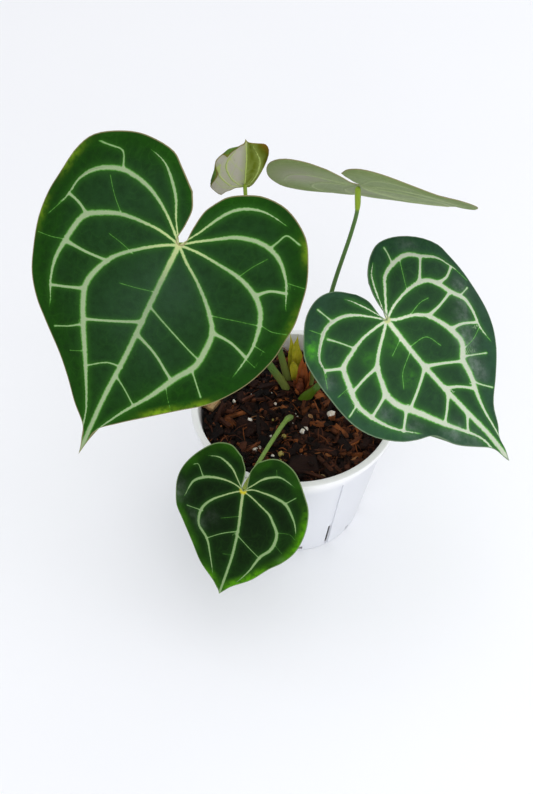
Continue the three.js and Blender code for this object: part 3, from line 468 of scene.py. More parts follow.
# For each of the points: the distance to a line, the signed distance across it, and how far
# along it the nearest place is. Points farther away than the form's reach get that reach.
def lineField(points, line):
    reach = bladeForm["reach"]
    start, step = line[:-1], np.diff(line, axis=0)
    size = np.linalg.norm(step, axis=1)
    ahead = step / size[:, None]
    inBox = (points > line.min(axis=0) - reach) & (points < line.max(axis=0) + reach)
    near = np.flatnonzero(inBox.all(axis=1))
    gap, across, along = (np.full(len(points), value) for value in (reach, reach, 0.5))
    for part in np.array_split(near, max(1, len(near) // 6000)):
        offset = points[part][:, None] - start[None]
        onto = np.clip((offset * ahead).sum(axis=2), 0, size)
        away = offset - onto[..., None] * ahead
        best = (away ** 2).sum(axis=2).argmin(axis=1)
        row = np.arange(len(part))
        turned = ahead[best] * (1, -1)
        gap[part] = np.minimum(np.linalg.norm(away[row, best], axis=1), reach)
        across[part] = (offset[row, best] * turned[:, ::-1]).sum(axis=1)
        along[part] = (best + onto[row, best] / size[best]) / len(size)
    return gap, across, along


# The sum of round patches that fade out as a bell: x, y, radius and strength.
def spots(flat, patches):
    total = np.zeros(len(flat))
    for x, y, radius, strength in patches:
        total += strength * np.exp(-((flat[:, 0] - x) ** 2 + (flat[:, 1] - y) ** 2) / radius ** 2)
    return total


# Everything that the shader and the relief need to know about the veins at each point: the gap
# to the nearest main vein and its half-width, and the same for the nearest cross vein.
def veinFields(leaf, points, mains):
    width = leaf["veinWidth"]
    strengths = [(1.1, 2), *leaf["right"]["strengths"], *leaf["left"]["strengths"]]
    far = bladeForm["reach"]
    begin = {"mainGap": far, "mainWide": width, "mainPale": 1.0, "crossGap": far,
             "crossNear": far, "crossWide": 0.3, "crossPale": 0.0}
    fields = {key: np.full(len(points), value) for key, value in begin.items()}
    ribs = np.zeros(len(points))
    crowd = np.zeros(len(points))
    for number, line in enumerate(mains):
        gap, _, along = lineField(points, curveAt(line, np.linspace(0, 1, 121)))
        share, end = strengths[number]
        wide = share * width * (0.5 + 0.5 * smooth(0.1, 0.45, along))
        wide = wide * (1 - 0.72 * smooth(0.55 * end, 0.97 * end, along))
        pale = 1 - smooth(end - 0.12, end + 0.04, along) if end < 1 else np.ones(len(points))
        if not number:
            wide = share * width * (0.84 - 0.16 * along)
        nearer = gap - wide < fields["mainGap"] - fields["mainWide"]
        for key, value in (("mainGap", gap), ("mainWide", wide), ("mainPale", pale)):
            fields[key] = np.where(nearer, value, fields[key])
        depth = (bladeForm["rib"] if number else bladeForm["midrib"]) * (1.1 - 0.8 * along)
        ribs = np.maximum(ribs, depth * np.exp(-(gap / (0.75 * width)) ** 2))
        crowd += np.exp(-(gap / 5) ** 2)
    for strength, line in leaf["cross"]:
        gap, across, along = lineField(points, curveAt(line, np.linspace(0, 1, 25)))
        beyond = np.sqrt(np.maximum(gap ** 2 - across ** 2, 0))
        flare = 0.8 + 0.45 * np.abs(2 * along - 1) ** 3
        wide = width * crossShare[strength - 1] * flare * (1 - 0.3 * along)
        pale = crossPale[strength - 1] * np.exp(-(beyond / 0.8) ** 2)
        nearer = gap - wide < fields["crossNear"] - fields["crossWide"]
        for key, value in (("crossNear", gap), ("crossGap", across), ("crossWide", wide),
                           ("crossPale", pale)):
            fields[key] = np.where(nearer, value, fields[key])
        ribs = np.maximum(ribs, 0.17 * strength * np.exp(-(gap / (0.6 * width)) ** 2))
        crowd += 0.27 * strength * np.exp(-(gap / 4) ** 2)
    return fields, ribs * width / 1.4, np.exp(-1.3 * crowd)


# Where a margin is rolled over: the part of each row within width of its end is longer than the
# flat shape by extra. It turns round a small radius and comes back flat below the lower face.
def rollMargin(roll, flat, amount):
    outward = unit(flat[:, -1] - flat[:, -6])[:, None]
    amount = amount[:, None]
    left = np.linalg.norm(flat - flat[:, -1:], axis=2)
    inBand = (left < roll["width"]) & (amount > 0.02)
    run = (1 - left / roll["width"]) * (roll["width"] + roll["extra"] * amount)
    start = roll["width"] - roll["radius"] * amount
    halfTurn = math.pi * roll["radius"]
    turn = np.where(inBand, np.clip(run - start, 0, halfTurn) / roll["radius"], 0)
    back = np.maximum(run - start - halfTurn, 0)
    place = np.minimum(run, start) + roll["radius"] * np.sin(turn) - back
    moved = flat[:, -1:] + outward * (place - roll["width"])[..., None]
    flat = np.where(inBand[..., None], moved, flat)
    return flat, turn, -roll["radius"] * (1 - np.cos(turn)), outward


# Height over the blade's plane: a fold at the midrib, an arch to the margin, and a droop to the
# tip and to the lobes.
def bladeHeight(leaf, x, y):
    length, halfWidth = leaf["right"]["margin"][0][0], leaf["halfWidth"]
    soft = bladeForm["foldRound"]
    folded = leaf["fold"] * (np.sqrt(y * y + soft ** 2) - soft)
    arched = (leaf["arch"] + leaf["fold"] * (halfWidth - soft)) * (y / halfWidth) ** 2
    tipDroop = leaf["droop"] * (x / length) ** 2
    lobeDroop = leaf["lobeDroop"] * (x / (bladeForm["lobe"] * length)) ** 2
    return folded - arched - np.where(x > 0, tipDroop, lobeDroop)


# Faces of a blade: fans at the joint, quads above and below, and a wall round the margin. Point 0
# is the upper joint and 1 the lower one, then come the upper and the lower rows of steps points.
def bladeFaces(rows, steps):
    number = np.arange(rows * steps).reshape(rows, steps) + 2
    low = number + rows * steps
    fan = np.stack([np.zeros(rows - 1, int), number[:-1, 0], number[1:, 0]], axis=1)
    fanLow = np.stack([np.ones(rows - 1, int), low[1:, 0], low[:-1, 0]], axis=1)
    quads = np.stack([number[:-1, :-1], number[:-1, 1:], number[1:, 1:], number[1:, :-1]], axis=2)
    quadsLow = np.stack([low[:-1, :-1], low[1:, :-1], low[1:, 1:], low[:-1, 1:]], axis=2)
    border = np.concatenate([number[0], number[1:, -1], number[-1, -2::-1]])
    borderLow = np.append(border + rows * steps, 1)
    border = np.append(border, 0)
    wall = np.stack([np.roll(border, -1), border, borderLow, np.roll(borderLow, -1)], axis=1)
    return [fan, fanLow, quads.reshape(-1, 4), quadsLow.reshape(-1, 4), wall]


# A blade: both sides joined at the midrib, with an upper and a lower surface on the same grid. To
# the height over its plane come the swelling between the veins, a wave and the raised veins.
def makeBlade(name, leaf, material, slot, steps):
    right = bladeSide(leaf, leaf["right"], 1, steps)
    left = bladeSide(leaf, leaf["left"], -1, steps)

    def joined(key):
        return np.concatenate([left[key][:0:-1], right[key]])

    flat, wave = joined("flat"), joined("wave")
    rows = len(flat)
    shape = (rows, steps + 1)
    t = np.broadcast_to(np.linspace(0, 1, steps + 1), shape)
    points = flat.reshape(-1, 2)
    mains = [*right["lines"][:-1], *left["lines"][1:-1]]
    fields, ribs, between = veinFields(leaf, points, mains)
    rims = [lineField(points, side["border"])[0] for side in (left, right)]
    rim = np.minimum(*rims).reshape(shape)
    patches = {key: spots(points, leaf.get(key, ())) for key in ("dustAndSheen", "paintedBacklight", "flush")}
    if "bloomSide" in leaf:
        away = leaf["bloomSide"] * points[:, 1]
        patches["dustAndSheen"] = smooth(-0.25, 0.25, away) * (0.6 + 0.4 * smooth(0, 4, away))
    ribs, between = ribs.reshape(shape), between.reshape(shape)
    grown = np.minimum(1, t * 12)
    taper = 1 - np.exp(-rim / bladeForm["taper"])
    core = np.exp(-(fields["mainGap"] / fields["mainWide"]) ** 2).reshape(shape)
    swell = leaf["quilt"] * between * grown * (1 - t ** 6)

    turn, lift, outward = np.zeros(shape), np.zeros(shape), np.zeros((rows, 1, 2))
    if "roll" in leaf:
        turns = np.concatenate([-left["u"][:0:-1], right["u"]])
        amount = sum(share * np.exp(-((turns - middle) / spread) ** 2)
                     for middle, spread, share in leaf["roll"]["places"])
        flat, turn, lift, outward = rollMargin(leaf["roll"], flat, amount)
    x, y = flat[..., 0], flat[..., 1]
    raised = bladeForm["raised"] * core * grown
    top = bladeHeight(leaf, x, y) + wave + swell + lift + raised
    thick = bladeForm["thin"] + (bladeForm["thick"] - bladeForm["thin"]) * taper
    thick = thick + ribs * taper * grown + 2 * raised

    normal = unit(leaf["normal"])
    ahead = unit(np.asarray(leaf["tipward"]) - np.dot(leaf["tipward"], normal) * normal)
    sideways = np.cross(normal, ahead)
    upper = np.asarray(leaf["joint"]) + x[..., None] * ahead + y[..., None] * sideways
    upper = upper + top[..., None] * normal
    outward = outward[..., :1] * ahead + outward[..., 1:] * sideways
    facing = np.cos(turn)[..., None] * normal + np.sin(turn)[..., None] * outward
    lower = upper - thick[..., None] * facing

    place = np.concatenate([upper[:1, 0], lower[:1, 0],
                            upper[:, 1:].reshape(-1, 3), lower[:, 1:].reshape(-1, 3)])

    # a value on the grid, in the order of the points
    def both(value):
        value = np.asarray(value, dtype=float).reshape(shape)
        return np.concatenate([value[0, :1], value[0, :1], np.tile(value[:, 1:].ravel(), 2)])

    values = {key: both(value) for key, value in {**fields, **patches}.items()}
    values["outward"], values["rim"] = both(t), both(rim)
    values["joint"] = both(np.linalg.norm(points, axis=1))
    values["under"] = np.repeat([0, 1, 0, 1], [1, 1, rows * steps, rows * steps])
    makePiece(name, place, bladeFaces(rows, steps), material, leaf["node"], slot, values, 60)
    print("blade made:", name, len(place), "points")


# Living leaf tissue. Above, minute domed cells make it velvety and nearly free of gloss. The
# pale veins have ragged edges with a bright green fringe, and the ground is darker and bluer in
# the middle than near the margin, where the blue is a painted sheen. The bright patches are painted
# light shining through thin tissue, and the dust patches on the large leaf are a painted sheen.
# Below it is paler and duller, with raised veins.
def leafMaterial(name, look):
    material, add = painter(name)
    place = add("TexCoord", {}, 3)
    keys = ("mainGap", "mainWide", "mainPale", "crossGap", "crossNear", "crossWide", "crossPale",
            "outward", "rim", "joint", "under", "dustAndSheen", "paintedBacklight", "flush")
    mainGap, mainWide, mainPale, crossGap, crossNear, crossWide, crossPale, outward, rim, joint, \
        under, dustAndSheen, paintedBacklight, flush = [add("Attribute", {}, 2, attribute_name=key) for key in keys]
    # noises by scale, detail and roughness: clouds of 22 and 11 mm, mottles of 4 and 3 mm, ragged
    # edges of 1.4 mm, and for the cells, too fine to show as they are, a grain of 0.7 mm
    grains = ((45, 3, 0.55), (90, 1, 0.55), (260, 3, 0.6), (300, 3, 0.6), (720, 3, 0.65),
              (1500, 2, 0.55))
    broad, bend, mottle, cloud, torn, cell = [
        add("TexNoise", {"Vector": place, "Scale": scale, "Detail": detail, "Roughness": rough})
        for scale, detail, rough in grains]

    # one on the vein's line, falling off as a bell whose half-width is wide
    def bell(gap, wide):
        ratio = add("Math", {0: gap, 1: wide}, operation="DIVIDE")
        square = add("Math", {0: ratio, 1: ratio}, operation="MULTIPLY")
        return add("Math", {0: 1 / math.e, 1: square}, operation="POWER")

    # the veins' edges are ragged, and a cross vein ends beside its line
    ragged = add("Math", {0: torn, 1: look["ragged"], 2: -0.5 * look["ragged"]},
                 operation="MULTIPLY_ADD")
    crossGap = add("Math", {0: crossGap}, operation="ABSOLUTE")
    crossGap = add("Math", {0: ragged, 1: 0.5, 2: crossGap}, operation="MULTIPLY_ADD")
    beside = add("Math", {0: crossNear, 1: crossWide}, operation="SUBTRACT")
    main = shareOf(add, bell(add("Math", {0: mainGap, 1: ragged}), mainWide), mainPale)
    cross = shareOf(add, bell(crossGap, crossWide), (beside, 2.3, 1.4), crossPale)
    core = add("Math", {0: main, 1: cross})
    wideMain = bell(mainGap, add("Math", {0: mainWide, 1: 1.5}))
    wideCross = bell(crossNear, add("Math", {0: crossWide, 1: 1.1}))
    halo = add("Math", {0: shareOf(add, wideMain, mainPale), 1: shareOf(add, wideCross, crossPale)})

    # a net of the finest veins, about 6 mm from one to the next
    wander = add("VectorMath", {0: bend, 1: (0.016, 0.016, 0.016), 2: place},
                 operation="MULTIPLY_ADD")
    net = add("TexVoronoi", {"Vector": wander, "Scale": 170.0}, feature="DISTANCE_TO_EDGE")
    fine = shareOf(add, (net, 0.10, 0.0), (broad, 0.35, 0.65))

    outer = add("Math", {0: outward, 1: outward, 2: broad}, operation="MULTIPLY_ADD")
    reach = look["paintedBacklightReach"]
    ground = layer(
        add, look["centre"],
        # the middle is bluer than the margin: painted sheen
        (look["outer"], (outer, 0.6, 1.4)),
        (look["deep"], (mottle, 0.35, 0.75), 0.5),
        (look["fresh"], (rim, 7.0, 0.5), (broad, 0.3, 0.7), look["marginFresh"]),
        (look["fringe"], fine, look["net"]),
        (look["halo"], halo, look["haloAmount"]),
        # painted light shining through thin tissue in the bright patches
        (look["paintedBacklight"], paintedBacklight, (mottle, 0.2, 0.7), (rim, reach, reach * 0.15)),
        (look["fringe"], (core, 0.07, 0.34), 0.9))
    tint = layer(add, look["vein"], (look["veinInner"], (joint, 26.0, 4.0)))
    streak = add("MapRange", {"Value": cloud, "From Min": 0.4, "From Max": 0.7,
                              "To Min": look["dustAndSheenEven"]})
    upper = layer(
        add, ground,
        (tint, (core, 0.24, 0.7), look["veinAmount"]),
        (look["joint"], (joint, 2.6, 1.1)),
        # grey dust, and on the large leaf a painted sheen over its middle
        (look["dustAndSheen"], dustAndSheen, streak, look["dustAndSheenAmount"]),
        (look["rim"], (rim, 0.62, 0.22), 0.75))
    below = layer(
        add, look["below"],
        (look["belowOuter"], (outer, 0.7, 1.5)),
        (look["belowDeep"], (mottle, 0.3, 0.8), 0.45),
        (look["bloom"], dustAndSheen, (mottle, 0.1, 0.4), 0.92),
        (look["belowVein"], fine, 0.25),
        (look["belowVein"], halo, 0.25),
        (look["belowVein"], (core, 0.25, 0.7), look["belowAmount"]),
        (look["rim"], (rim, 0.55, 0.2), 0.7))
    body = layer(add, upper, (below, under), (look["flush"], flush))

    relief = cell
    for part, depth in ((mottle, 0.8), (fine, -0.5), (shareOf(add, (core, 0.2, 0.7)), 0.9)):
        relief = add("Math", {0: part, 1: depth, 2: relief}, operation="MULTIPLY_ADD")
    rough = add("MapRange", {"Value": mottle, "To Min": look["rough"] - 0.05,
                             "To Max": look["rough"] + 0.1})
    finish(add, body, relief, 0.45, 0.00025, {
        "Roughness": rough, "IOR": 1.45, "Specular IOR Level": look["gloss"],
        "Subsurface Weight": 0.04, "Subsurface Radius": (0.4, 1.0, 0.2),
        "Subsurface Scale": 0.001})
    return material


# Colours of the mature leaves, and what the others have of their own.
leafLook = {
    "centre": "#1b3b19", "outer": "#153c08", "deep": "#0e250b", "fresh": "#22560a",
    "marginFresh": 0.4, "net": 0.04, "halo": "#336a1c", "haloAmount": 0.5, "fringe": "#4c8a30",
    "paintedBacklight": "#7ea31c", "paintedBacklightReach": 5.0, "vein": "#98ad84", "veinInner": "#bccb8e",
    # the dust colour is grey dust, and on the large leaf its painted sheen
    "veinAmount": 0.96, "joint": "#c3cc8c", "dustAndSheen": "#3d5846", "dustAndSheenAmount": 0.5,
    "dustAndSheenEven": 0.8, "rim": "#8f8560",
    "below": "#8d9c72", "belowOuter": "#7f9158", "belowDeep": "#748655", "belowVein": "#a3b184",
    "belowAmount": 0.75, "bloom": "#a59d94", "flush": "#8a5a1e", "ragged": 0.9, "rough": 0.62,
    "gloss": 0.06,
}
# The right leaf's greyer, bluer greens are partly its own colour and partly a painted sheen of the
# light on a blade that faces up.
rightLook = {**leafLook, "centre": "#214324", "outer": "#274733", "deep": "#193221",
             "fresh": "#2c5b2f", "halo": "#3c7a2c", "haloAmount": 0.6, "fringe": "#56a038",
             "vein": "#c2cbb6", "veinInner": "#d6ddc6", "paintedBacklight": "#4fa528", "paintedBacklightReach": 60.0,
             "dustAndSheen": "#8f9c96", "dustAndSheenAmount": 0.55, "dustAndSheenEven": 0.25, "rim": "#6f8468",
             "ragged": 1.1, "gloss": 0.15}
frontLook = {**leafLook, "centre": "#0c2008", "outer": "#102c07", "deep": "#081504",
             "vein": "#87a070", "veinInner": "#9fae7c", "halo": "#28541a", "haloAmount": 0.4,
             "fringe": "#3c7024", "fresh": "#2f650b", "marginFresh": 0.55, "paintedBacklight": "#4c8c08",
             "paintedBacklightReach": 6.0, "dustAndSheen": "#6b756a", "dustAndSheenAmount": 0.42, "dustAndSheenEven": 0.3,
             "joint": "#c2b62e", "rim": "#7a9060", "ragged": 0.6}
backLook = {**leafLook, "joint": "#9db04c"}
youngLook = {**leafLook, "centre": "#4d660e", "outer": "#466209", "deep": "#3a5208",
             "fresh": "#66760c", "below": "#5c6a06", "belowOuter": "#566403",
             "belowDeep": "#485600", "belowVein": "#b5c672", "belowAmount": 0.9,
             "bloom": "#bdb7ae", "rim": "#7d702c", "flush": "#7d5a1c", "gloss": 0.1,
             "vein": "#b9c46c", "veinInner": "#c3cc7a", "halo": "#7c8c20", "fringe": "#8a9a2c"}

# Each blade: its piece's name, its leaf, its material's name and colours, its slot, and the mesh
# steps from the joint to the margin.
blades = [("large_left_blade", largeLeaf, "velvet_leaf", leafLook, "leaf", 150),
          ("right_blade", rightLeaf, "dusty_leaf", rightLook, "leaf", 130),
          ("front_blade", frontLeaf, "small_leaf", frontLook, "leaf", 110),
          ("back_blade", backLeaf, "back_leaf", backLook, "leaf", 110),
          ("young_blade", youngLeaf, "young_leaf", youngLook, "young_leaf", 90)]
for name, leaf, skinName, look, slot, steps in blades:
    makeBlade(name, leaf, leafMaterial(skinName, look), slot, steps)


# Stalks

# Each stalk: the leaf that it carries, its foot in the mix, the points that it passes, its radii at
# the foot, at the top and at the swollen joint below the blade, and that joint's length. A flare
# is the share by which a sheathing foot is wider, a knee the share by which it is thicker just
# above the mix, and reach is how far the stalk runs up the midrib.
soilLevel = 78.5
stalks = {
    "left": {"leaf": largeLeaf, "foot": (-4, 20.4), "radii": (2.7, 1.35, 1.8), "joint": 16,
             "via": [(-14, 14, 107), (-34, -5, 168), (-47, -18.5, 208)]},
    "right": {"leaf": rightLeaf, "foot": (5.4, 12.4), "radii": (2.6, 1.3, 1.8), "joint": 12,
              "via": [(12.5, 10, 92), (27, -3, 128), (38, -13, 158)], "flare": 0.55},
    "front": {"leaf": frontLeaf, "foot": (-1.3, -1), "radii": (1.6, 1.1, 1.6), "joint": 8,
              "via": [(-4, -7, 84.5), (-13, -29, 92), (-22, -52, 97.5)], "knee": 0.3},
    "back": {"leaf": backLeaf, "foot": (9.6, 23), "radii": (2.1, 1.05, 1.55), "joint": 14,
             "via": [(13, 23, 106), (19.7, 24.3, 157), (28, 24.6, 199), (30, 24.5, 213)]},
    "young": {"leaf": youngLeaf, "foot": (-3.4, 27.4), "radii": (2.6, 0.95, 1.05), "joint": 6,
              "via": [(-8.6, 27, 106.5), (-18, 27, 155), (-26, 28, 203)], "reach": 2.4},
}
stalkForm = {"sunk": 13, "sides": 22, "steps": 150, "channel": 0.14, "rounded": 0.62,
             "gap": 1.1, "ring": 0.06, "kneeTop": (11.5, 9.5), "flareTop": (15, 5)}


# A body swept along a path: section(s) gives the outline's sideways and upward offsets at the
# fractions s as arrays (steps, sides). The results are its points, its faces and the fraction of
# each point.
def sweep(path, steps, section, sideways=(1.0, 0.0, 0.0)):
    s = np.linspace(0, 1, steps + 1)
    centre = curveAt(path, s)
    along = unit(np.gradient(centre, axis=0))
    sideways = np.asarray(sideways, dtype=float)
    across = unit(sideways - (along @ sideways)[:, None] * along)
    up = np.cross(along, across)
    u, v = section(s[:, None])
    rings = centre[:, None] + u[..., None] * across[:, None] + v[..., None] * up[:, None]
    points = np.concatenate([rings.reshape(-1, 3), rings[:1].mean(axis=1), rings[-1:].mean(axis=1)])
    sides = rings.shape[1]
    return points, ringSkin(steps + 1, sides), np.concatenate([np.repeat(s, sides), [0, 1]])


# A stalk: thick at the foot, channelled above, with a crease and fine wrinkles at the joint.
def makeStalk(name, row, material):
    leaf, foot, via, swelling = row["leaf"], row["foot"], row["via"], row["joint"]
    footRadius, topRadius, jointRadius = row["radii"]
    normal = unit(leaf["normal"])
    along = unit(np.subtract(leaf["joint"], via[-1]))
    slant = math.sqrt(1 - np.dot(along, normal) ** 2)
    drop = stalkForm["gap"] + jointRadius * stalkForm["rounded"] * slant
    end = np.asarray(leaf["joint"]) - normal * drop + row.get("reach", 0) * unit(leaf["tipward"])
    path = [(*foot, soilLevel - stalkForm["sunk"]), (*foot, soilLevel - 1), *via, end]
    fine = curveAt(path, np.linspace(0, 1, 200))
    length = np.linalg.norm(np.diff(fine, axis=0), axis=1).sum()

    def section(s):
        toEnd = (1 - s) * length
        base = topRadius + (footRadius - topRadius) * (1 - s) ** 2
        joint = (jointRadius - topRadius) / (1 + np.exp((toEnd - swelling) / 1.2))
        crease = 1 - stalkForm["ring"] * np.exp(-((toEnd - swelling - 1.5) / 0.5) ** 2)
        wrinkle = 1 + 0.012 * np.sin(toEnd * 5) * smooth(swelling, swelling - 3, toEnd)
        size = (base + joint) * crease * wrinkle
        size = size * np.minimum(1, stalkForm["rounded"] + 0.32 * toEnd)
        angle = np.linspace(0, 2 * math.pi, stalkForm["sides"], endpoint=False)[None]
        channel = stalkForm["channel"] * np.exp(-((angle - math.pi / 2) / 0.45) ** 2)
        size = size * (1 - channel * smooth(0.12, 0.3, s))
        fromSoil = s * length - stalkForm["sunk"]
        size = size * (1 + row.get("knee", 0) * smooth(*stalkForm["kneeTop"], fromSoil))
        flare = 1 + row.get("flare", 0) * smooth(*stalkForm["flareTop"], fromSoil)
        return size * np.cos(angle) * flare, size * np.sin(angle)

    points, faces, s = sweep(path, stalkForm["steps"], section)
    values = {"fromSoil": s * length - stalkForm["sunk"], "toJoint": (1 - s) * length - swelling}
    makePiece("stalk_" + name, points, faces, material, "petiole_" + name, "stalk", values)
    print("stalk made:", name)


# Smooth waxy stalk skin with fine lengthwise streaks: paler and duller where it leaves the mix,
# fresh green above, and yellow-green at the swollen joint below the blade.
def stalkMaterial(name, look):
    material, add = painter(name)
    place = add("TexCoord", {}, 3)
    # streaks 0.7 mm apart and 9 mm long, a little coarser than real ones so that they show, and
    # specks of 1.1 mm
    longways = add("Mapping", {"Vector": place, "Scale": (1.0, 1.0, 0.08)})
    streak = add("TexNoise", {"Vector": longways, "Scale": 1400.0})
    speck = add("TexNoise", {"Vector": place, "Scale": 900.0, "Detail": 3.0})
    fromSoil = add("Attribute", {}, 2, attribute_name="fromSoil")
    toJoint = add("Attribute", {}, 2, attribute_name="toJoint")
    ragged = add("Math", {0: speck, 1: 3.0, 2: fromSoil}, operation="MULTIPLY_ADD")
    body = layer(
        add, look["green"],
        (look["pale"], streak, 0.8),
        (look["joint"], (toJoint, 2.5, -1.0)),
        (look["foot"], (ragged, look["footEnd"], look["footStart"])),
        (look["speck"], (speck, 0.56, 0.7), 0.35),
        (look["base"], (ragged, 3.2, 1.6)))
    finish(add, body, streak, 0.25, 0.0002, {
        "Roughness": 0.45, "IOR": 1.45, "Specular IOR Level": 0.3, "Subsurface Weight": 0.08,
        "Subsurface Radius": (0.6, 1.0, 0.2), "Subsurface Scale": 0.0015})
    return material


stalkLook = {"green": "#4f7434", "pale": "#668845", "joint": "#86a030", "foot": "#74803f",
             "footEnd": 34.0, "footStart": 16.0, "speck": "#6b6a3c", "base": "#7c6a4a"}
# What single stalks have of their own.
skins = {
    "front": ("low_stalk_skin", {"green": "#7a9a46", "pale": "#86a552", "joint": "#98aa4c",
                                 "foot": "#7f9a55", "footEnd": 12.5, "footStart": 11.0,
                                 "speck": "#5c6a3a"}),
    "back": ("back_stalk_skin", {"green": "#46692c", "pale": "#547a38", "joint": "#8aa52c"}),
    "right": ("right_stalk_skin", {"foot": "#4f6a16", "footEnd": 20.0}),
}
stalkSkin = stalkMaterial("stalk_skin", stalkLook)
ownSkins = {stalk: stalkMaterial(name, {**stalkLook, **own}) for stalk, (name, own) in skins.items()}
for name, row in stalks.items():
    makeStalk(name, row, ownSkins.get(name, stalkSkin))


# Sheaths and crown

# Bud scales: the path from the foot to the tip, the half-width where they are widest, and the
# fraction of the height where that is.
sheaths = {
    "sheath_tall": ([(-1.2, 32.6, 66), (-1, 32.6, 80), (-1.2, 31.9, 96), (-1.6, 30.8, 108),
                     (-2.7, 29.5, 119)], 2.3, 0.45),
    "sheath_split": ([(3.2, 30.8, 66), (3, 30.8, 80), (2.1, 30.2, 96), (1.2, 29.7, 106),
                      (2.1, 29, 117.6)], 3.1, 0.58),
    "sheath_short": ([(0.9, 26, 68), (0.9, 26, 79), (0.2, 25, 91), (-1, 23.7, 101.5)],
                     2.5, 0.74),
}
# Dry scales round the old stem: the direction that they face, degrees from +X, how far from the
# stem they stand, the height of their tips, how far those lean out, the half-width and the tone.
crownForm = {"centre": (3.6, 19.4), "radius": 2.7, "height": 10.5, "foot": 74.5}
dryScales = [
    (52, 4.8, 101.0, 2.0, 3.3, 0.5), (18, 5.0, 95.5, 3.0, 2.6, 0.9),
    (78, 5.6, 104.0, 1.4, 2.4, 0.8), (30, 3.6, 91.0, 1.8, 2.8, 0.35),
    (-12, 3.6, 88.0, 3.0, 2.0, 0.45), (-62, 3.4, 86.0, 2.2, 1.9, 0.2),
    (-118, 3.5, 87.0, 3.4, 1.6, 0.6), (165, 3.2, 88.5, 1.8, 1.8, 0.35),
    (118, 3.4, 91.0, 1.0, 1.9, 0.55),
]


# The outline of a hollow scale: an outer arc and an inner arc, thin at the edges, both closing
# in to the tip. Full width is reached at the fraction widest.
def scaleSection(width, thick, hollow, widest):
    def section(s):
        rising = 0.72 + 0.28 * smooth(0.2, widest, s)
        half = width * rising * np.maximum(0.03, 1 - smooth(widest, 1.02, s) ** 1.3)
        back = half * hollow
        outer = np.linspace(0, math.pi, 15)[None]
        inner = np.linspace(math.pi, 0, 15)[None, 1:-1]
        ribbed = 1 + 0.025 * np.cos(outer * 16)
        u = np.concatenate([half * np.cos(outer), 0.97 * half * np.cos(inner)], axis=1)
        depth = np.minimum(back - thick, back * 0.45)
        v = np.concatenate([back * np.sin(outer) * ribbed, depth * np.sin(inner)], axis=1)
        return u, v
    return section


# Bud scale tissue: firm and yellow-green, with lengthwise fibres, greener patches, a brown foot
# and a dry tip. tip is the fraction of the height.
def sheathMaterial(look):
    material, add = painter("bud_scale")
    place = add("TexCoord", {}, 3)
    # fibres 0.5 mm apart and 9 mm long, and patches of 4 mm
    longways = add("Mapping", {"Vector": place, "Scale": (1.0, 1.0, 0.06)})
    fibre = add("TexNoise", {"Vector": longways, "Scale": 1900.0, "Detail": 2.0})
    patch = add("TexNoise", {"Vector": place, "Scale": 260.0, "Detail": 3.0})
    tip = add("Attribute", {}, 2, attribute_name="tip")
    body = layer(
        add, look["yellow"],
        (look["pale"], (fibre, 0.35, 0.65), 0.7),
        (look["olive"], (patch, 0.5, 0.75), 0.6),
        (look["foot"], (tip, 0.5, 0.28)),
        (look["dry"], (tip, 0.95, 1.0), 0.8))
    finish(add, body, fibre, 0.5, 0.0003, {
        "Roughness": 0.5, "IOR": 1.45, "Specular IOR Level": 0.3, "Subsurface Weight": 0.12,
        "Subsurface Radius": (0.8, 0.9, 0.2), "Subsurface Scale": 0.002})
    return material


# Dry brown scale and old stem tissue: papery, fibrous and a little glossy where it is smooth.
def dryMaterial(look):
    material, add = painter("dry_scale")
    place = add("TexCoord", {}, 3)
    # fibres 0.8 mm apart and 8 mm long, and patches of 3 mm
    longways = add("Mapping", {"Vector": place, "Scale": (1.0, 1.0, 0.1)})
    fibre = add("TexNoise", {"Vector": longways, "Scale": 1300.0, "Detail": 4.0})
    patch = add("TexNoise", {"Vector": place, "Scale": 300.0, "Detail": 3.0})
    tone = add("Attribute", {}, 2, attribute_name="tone")
    body = layer(
        add, look["dark"],
        (look["brown"], (tone, 0.15, 0.5)),
        (look["orange"], (tone, 0.5, 0.85)),
        (look["streak"], (fibre, 0.45, 0.65), 0.6),
        (look["dark"], (patch, 0.5, 0.7), 0.6))
    finish(add, body, fibre, 0.8, 0.0004, {"Roughness": 0.55, "IOR": 1.5,
                                           "Specular IOR Level": 0.3})
    return material


# The stem's stub with a ragged top and the dry scales that stand round it, in one piece.
def makeCrown(material):
    x, y = crownForm["centre"]
    top = soilLevel + crownForm["height"]

    def stub(s):
        angle = np.linspace(0, 2 * math.pi, 40, endpoint=False)[None]
        ridges = 1 + 0.07 * np.sin(angle * 9) + 0.04 * np.sin(angle * 5 + 30 * s)
        size = crownForm["radius"] * ridges * (1 - 0.55 * smooth(0.55, 1, s))
        return size * np.cos(angle), size * np.sin(angle)

    parts = [(*sweep([(x, y, crownForm["foot"]), (x + 0.2, y, top)], 30, stub), 0.3)]
    for degrees, away, tip, lean, width, tone in dryScales:
        out = np.array([math.cos(math.radians(degrees)), math.sin(math.radians(degrees)), 0])
        foot = np.array([x, y, crownForm["foot"]]) + out * (away - width * 0.5)
        tall = tip - crownForm["foot"]
        path = [foot, foot + (0, 0, tall * 0.35), foot + out * lean * 0.4 + (0, 0, tall * 0.7),
                foot + out * lean + (0, 0, tall)]
        section = scaleSection(width, 0.5, 0.55, 0.5)
        parts.append((*sweep(path, 24, section, np.cross(out, (0, 0, 1))), tone))
    starts = np.cumsum([0] + [len(part[0]) for part in parts])
    points = np.concatenate([part[0] for part in parts])
    faces = [face + start for part, start in zip(parts, starts) for face in part[1]]
    tones = np.concatenate([part[3] + 0.35 * part[2] for part in parts])
    makePiece("old_stem_and_scales", points, faces, material, "crown", "crown", {"tone": tones})
    print("crown made:", len(parts), "parts")


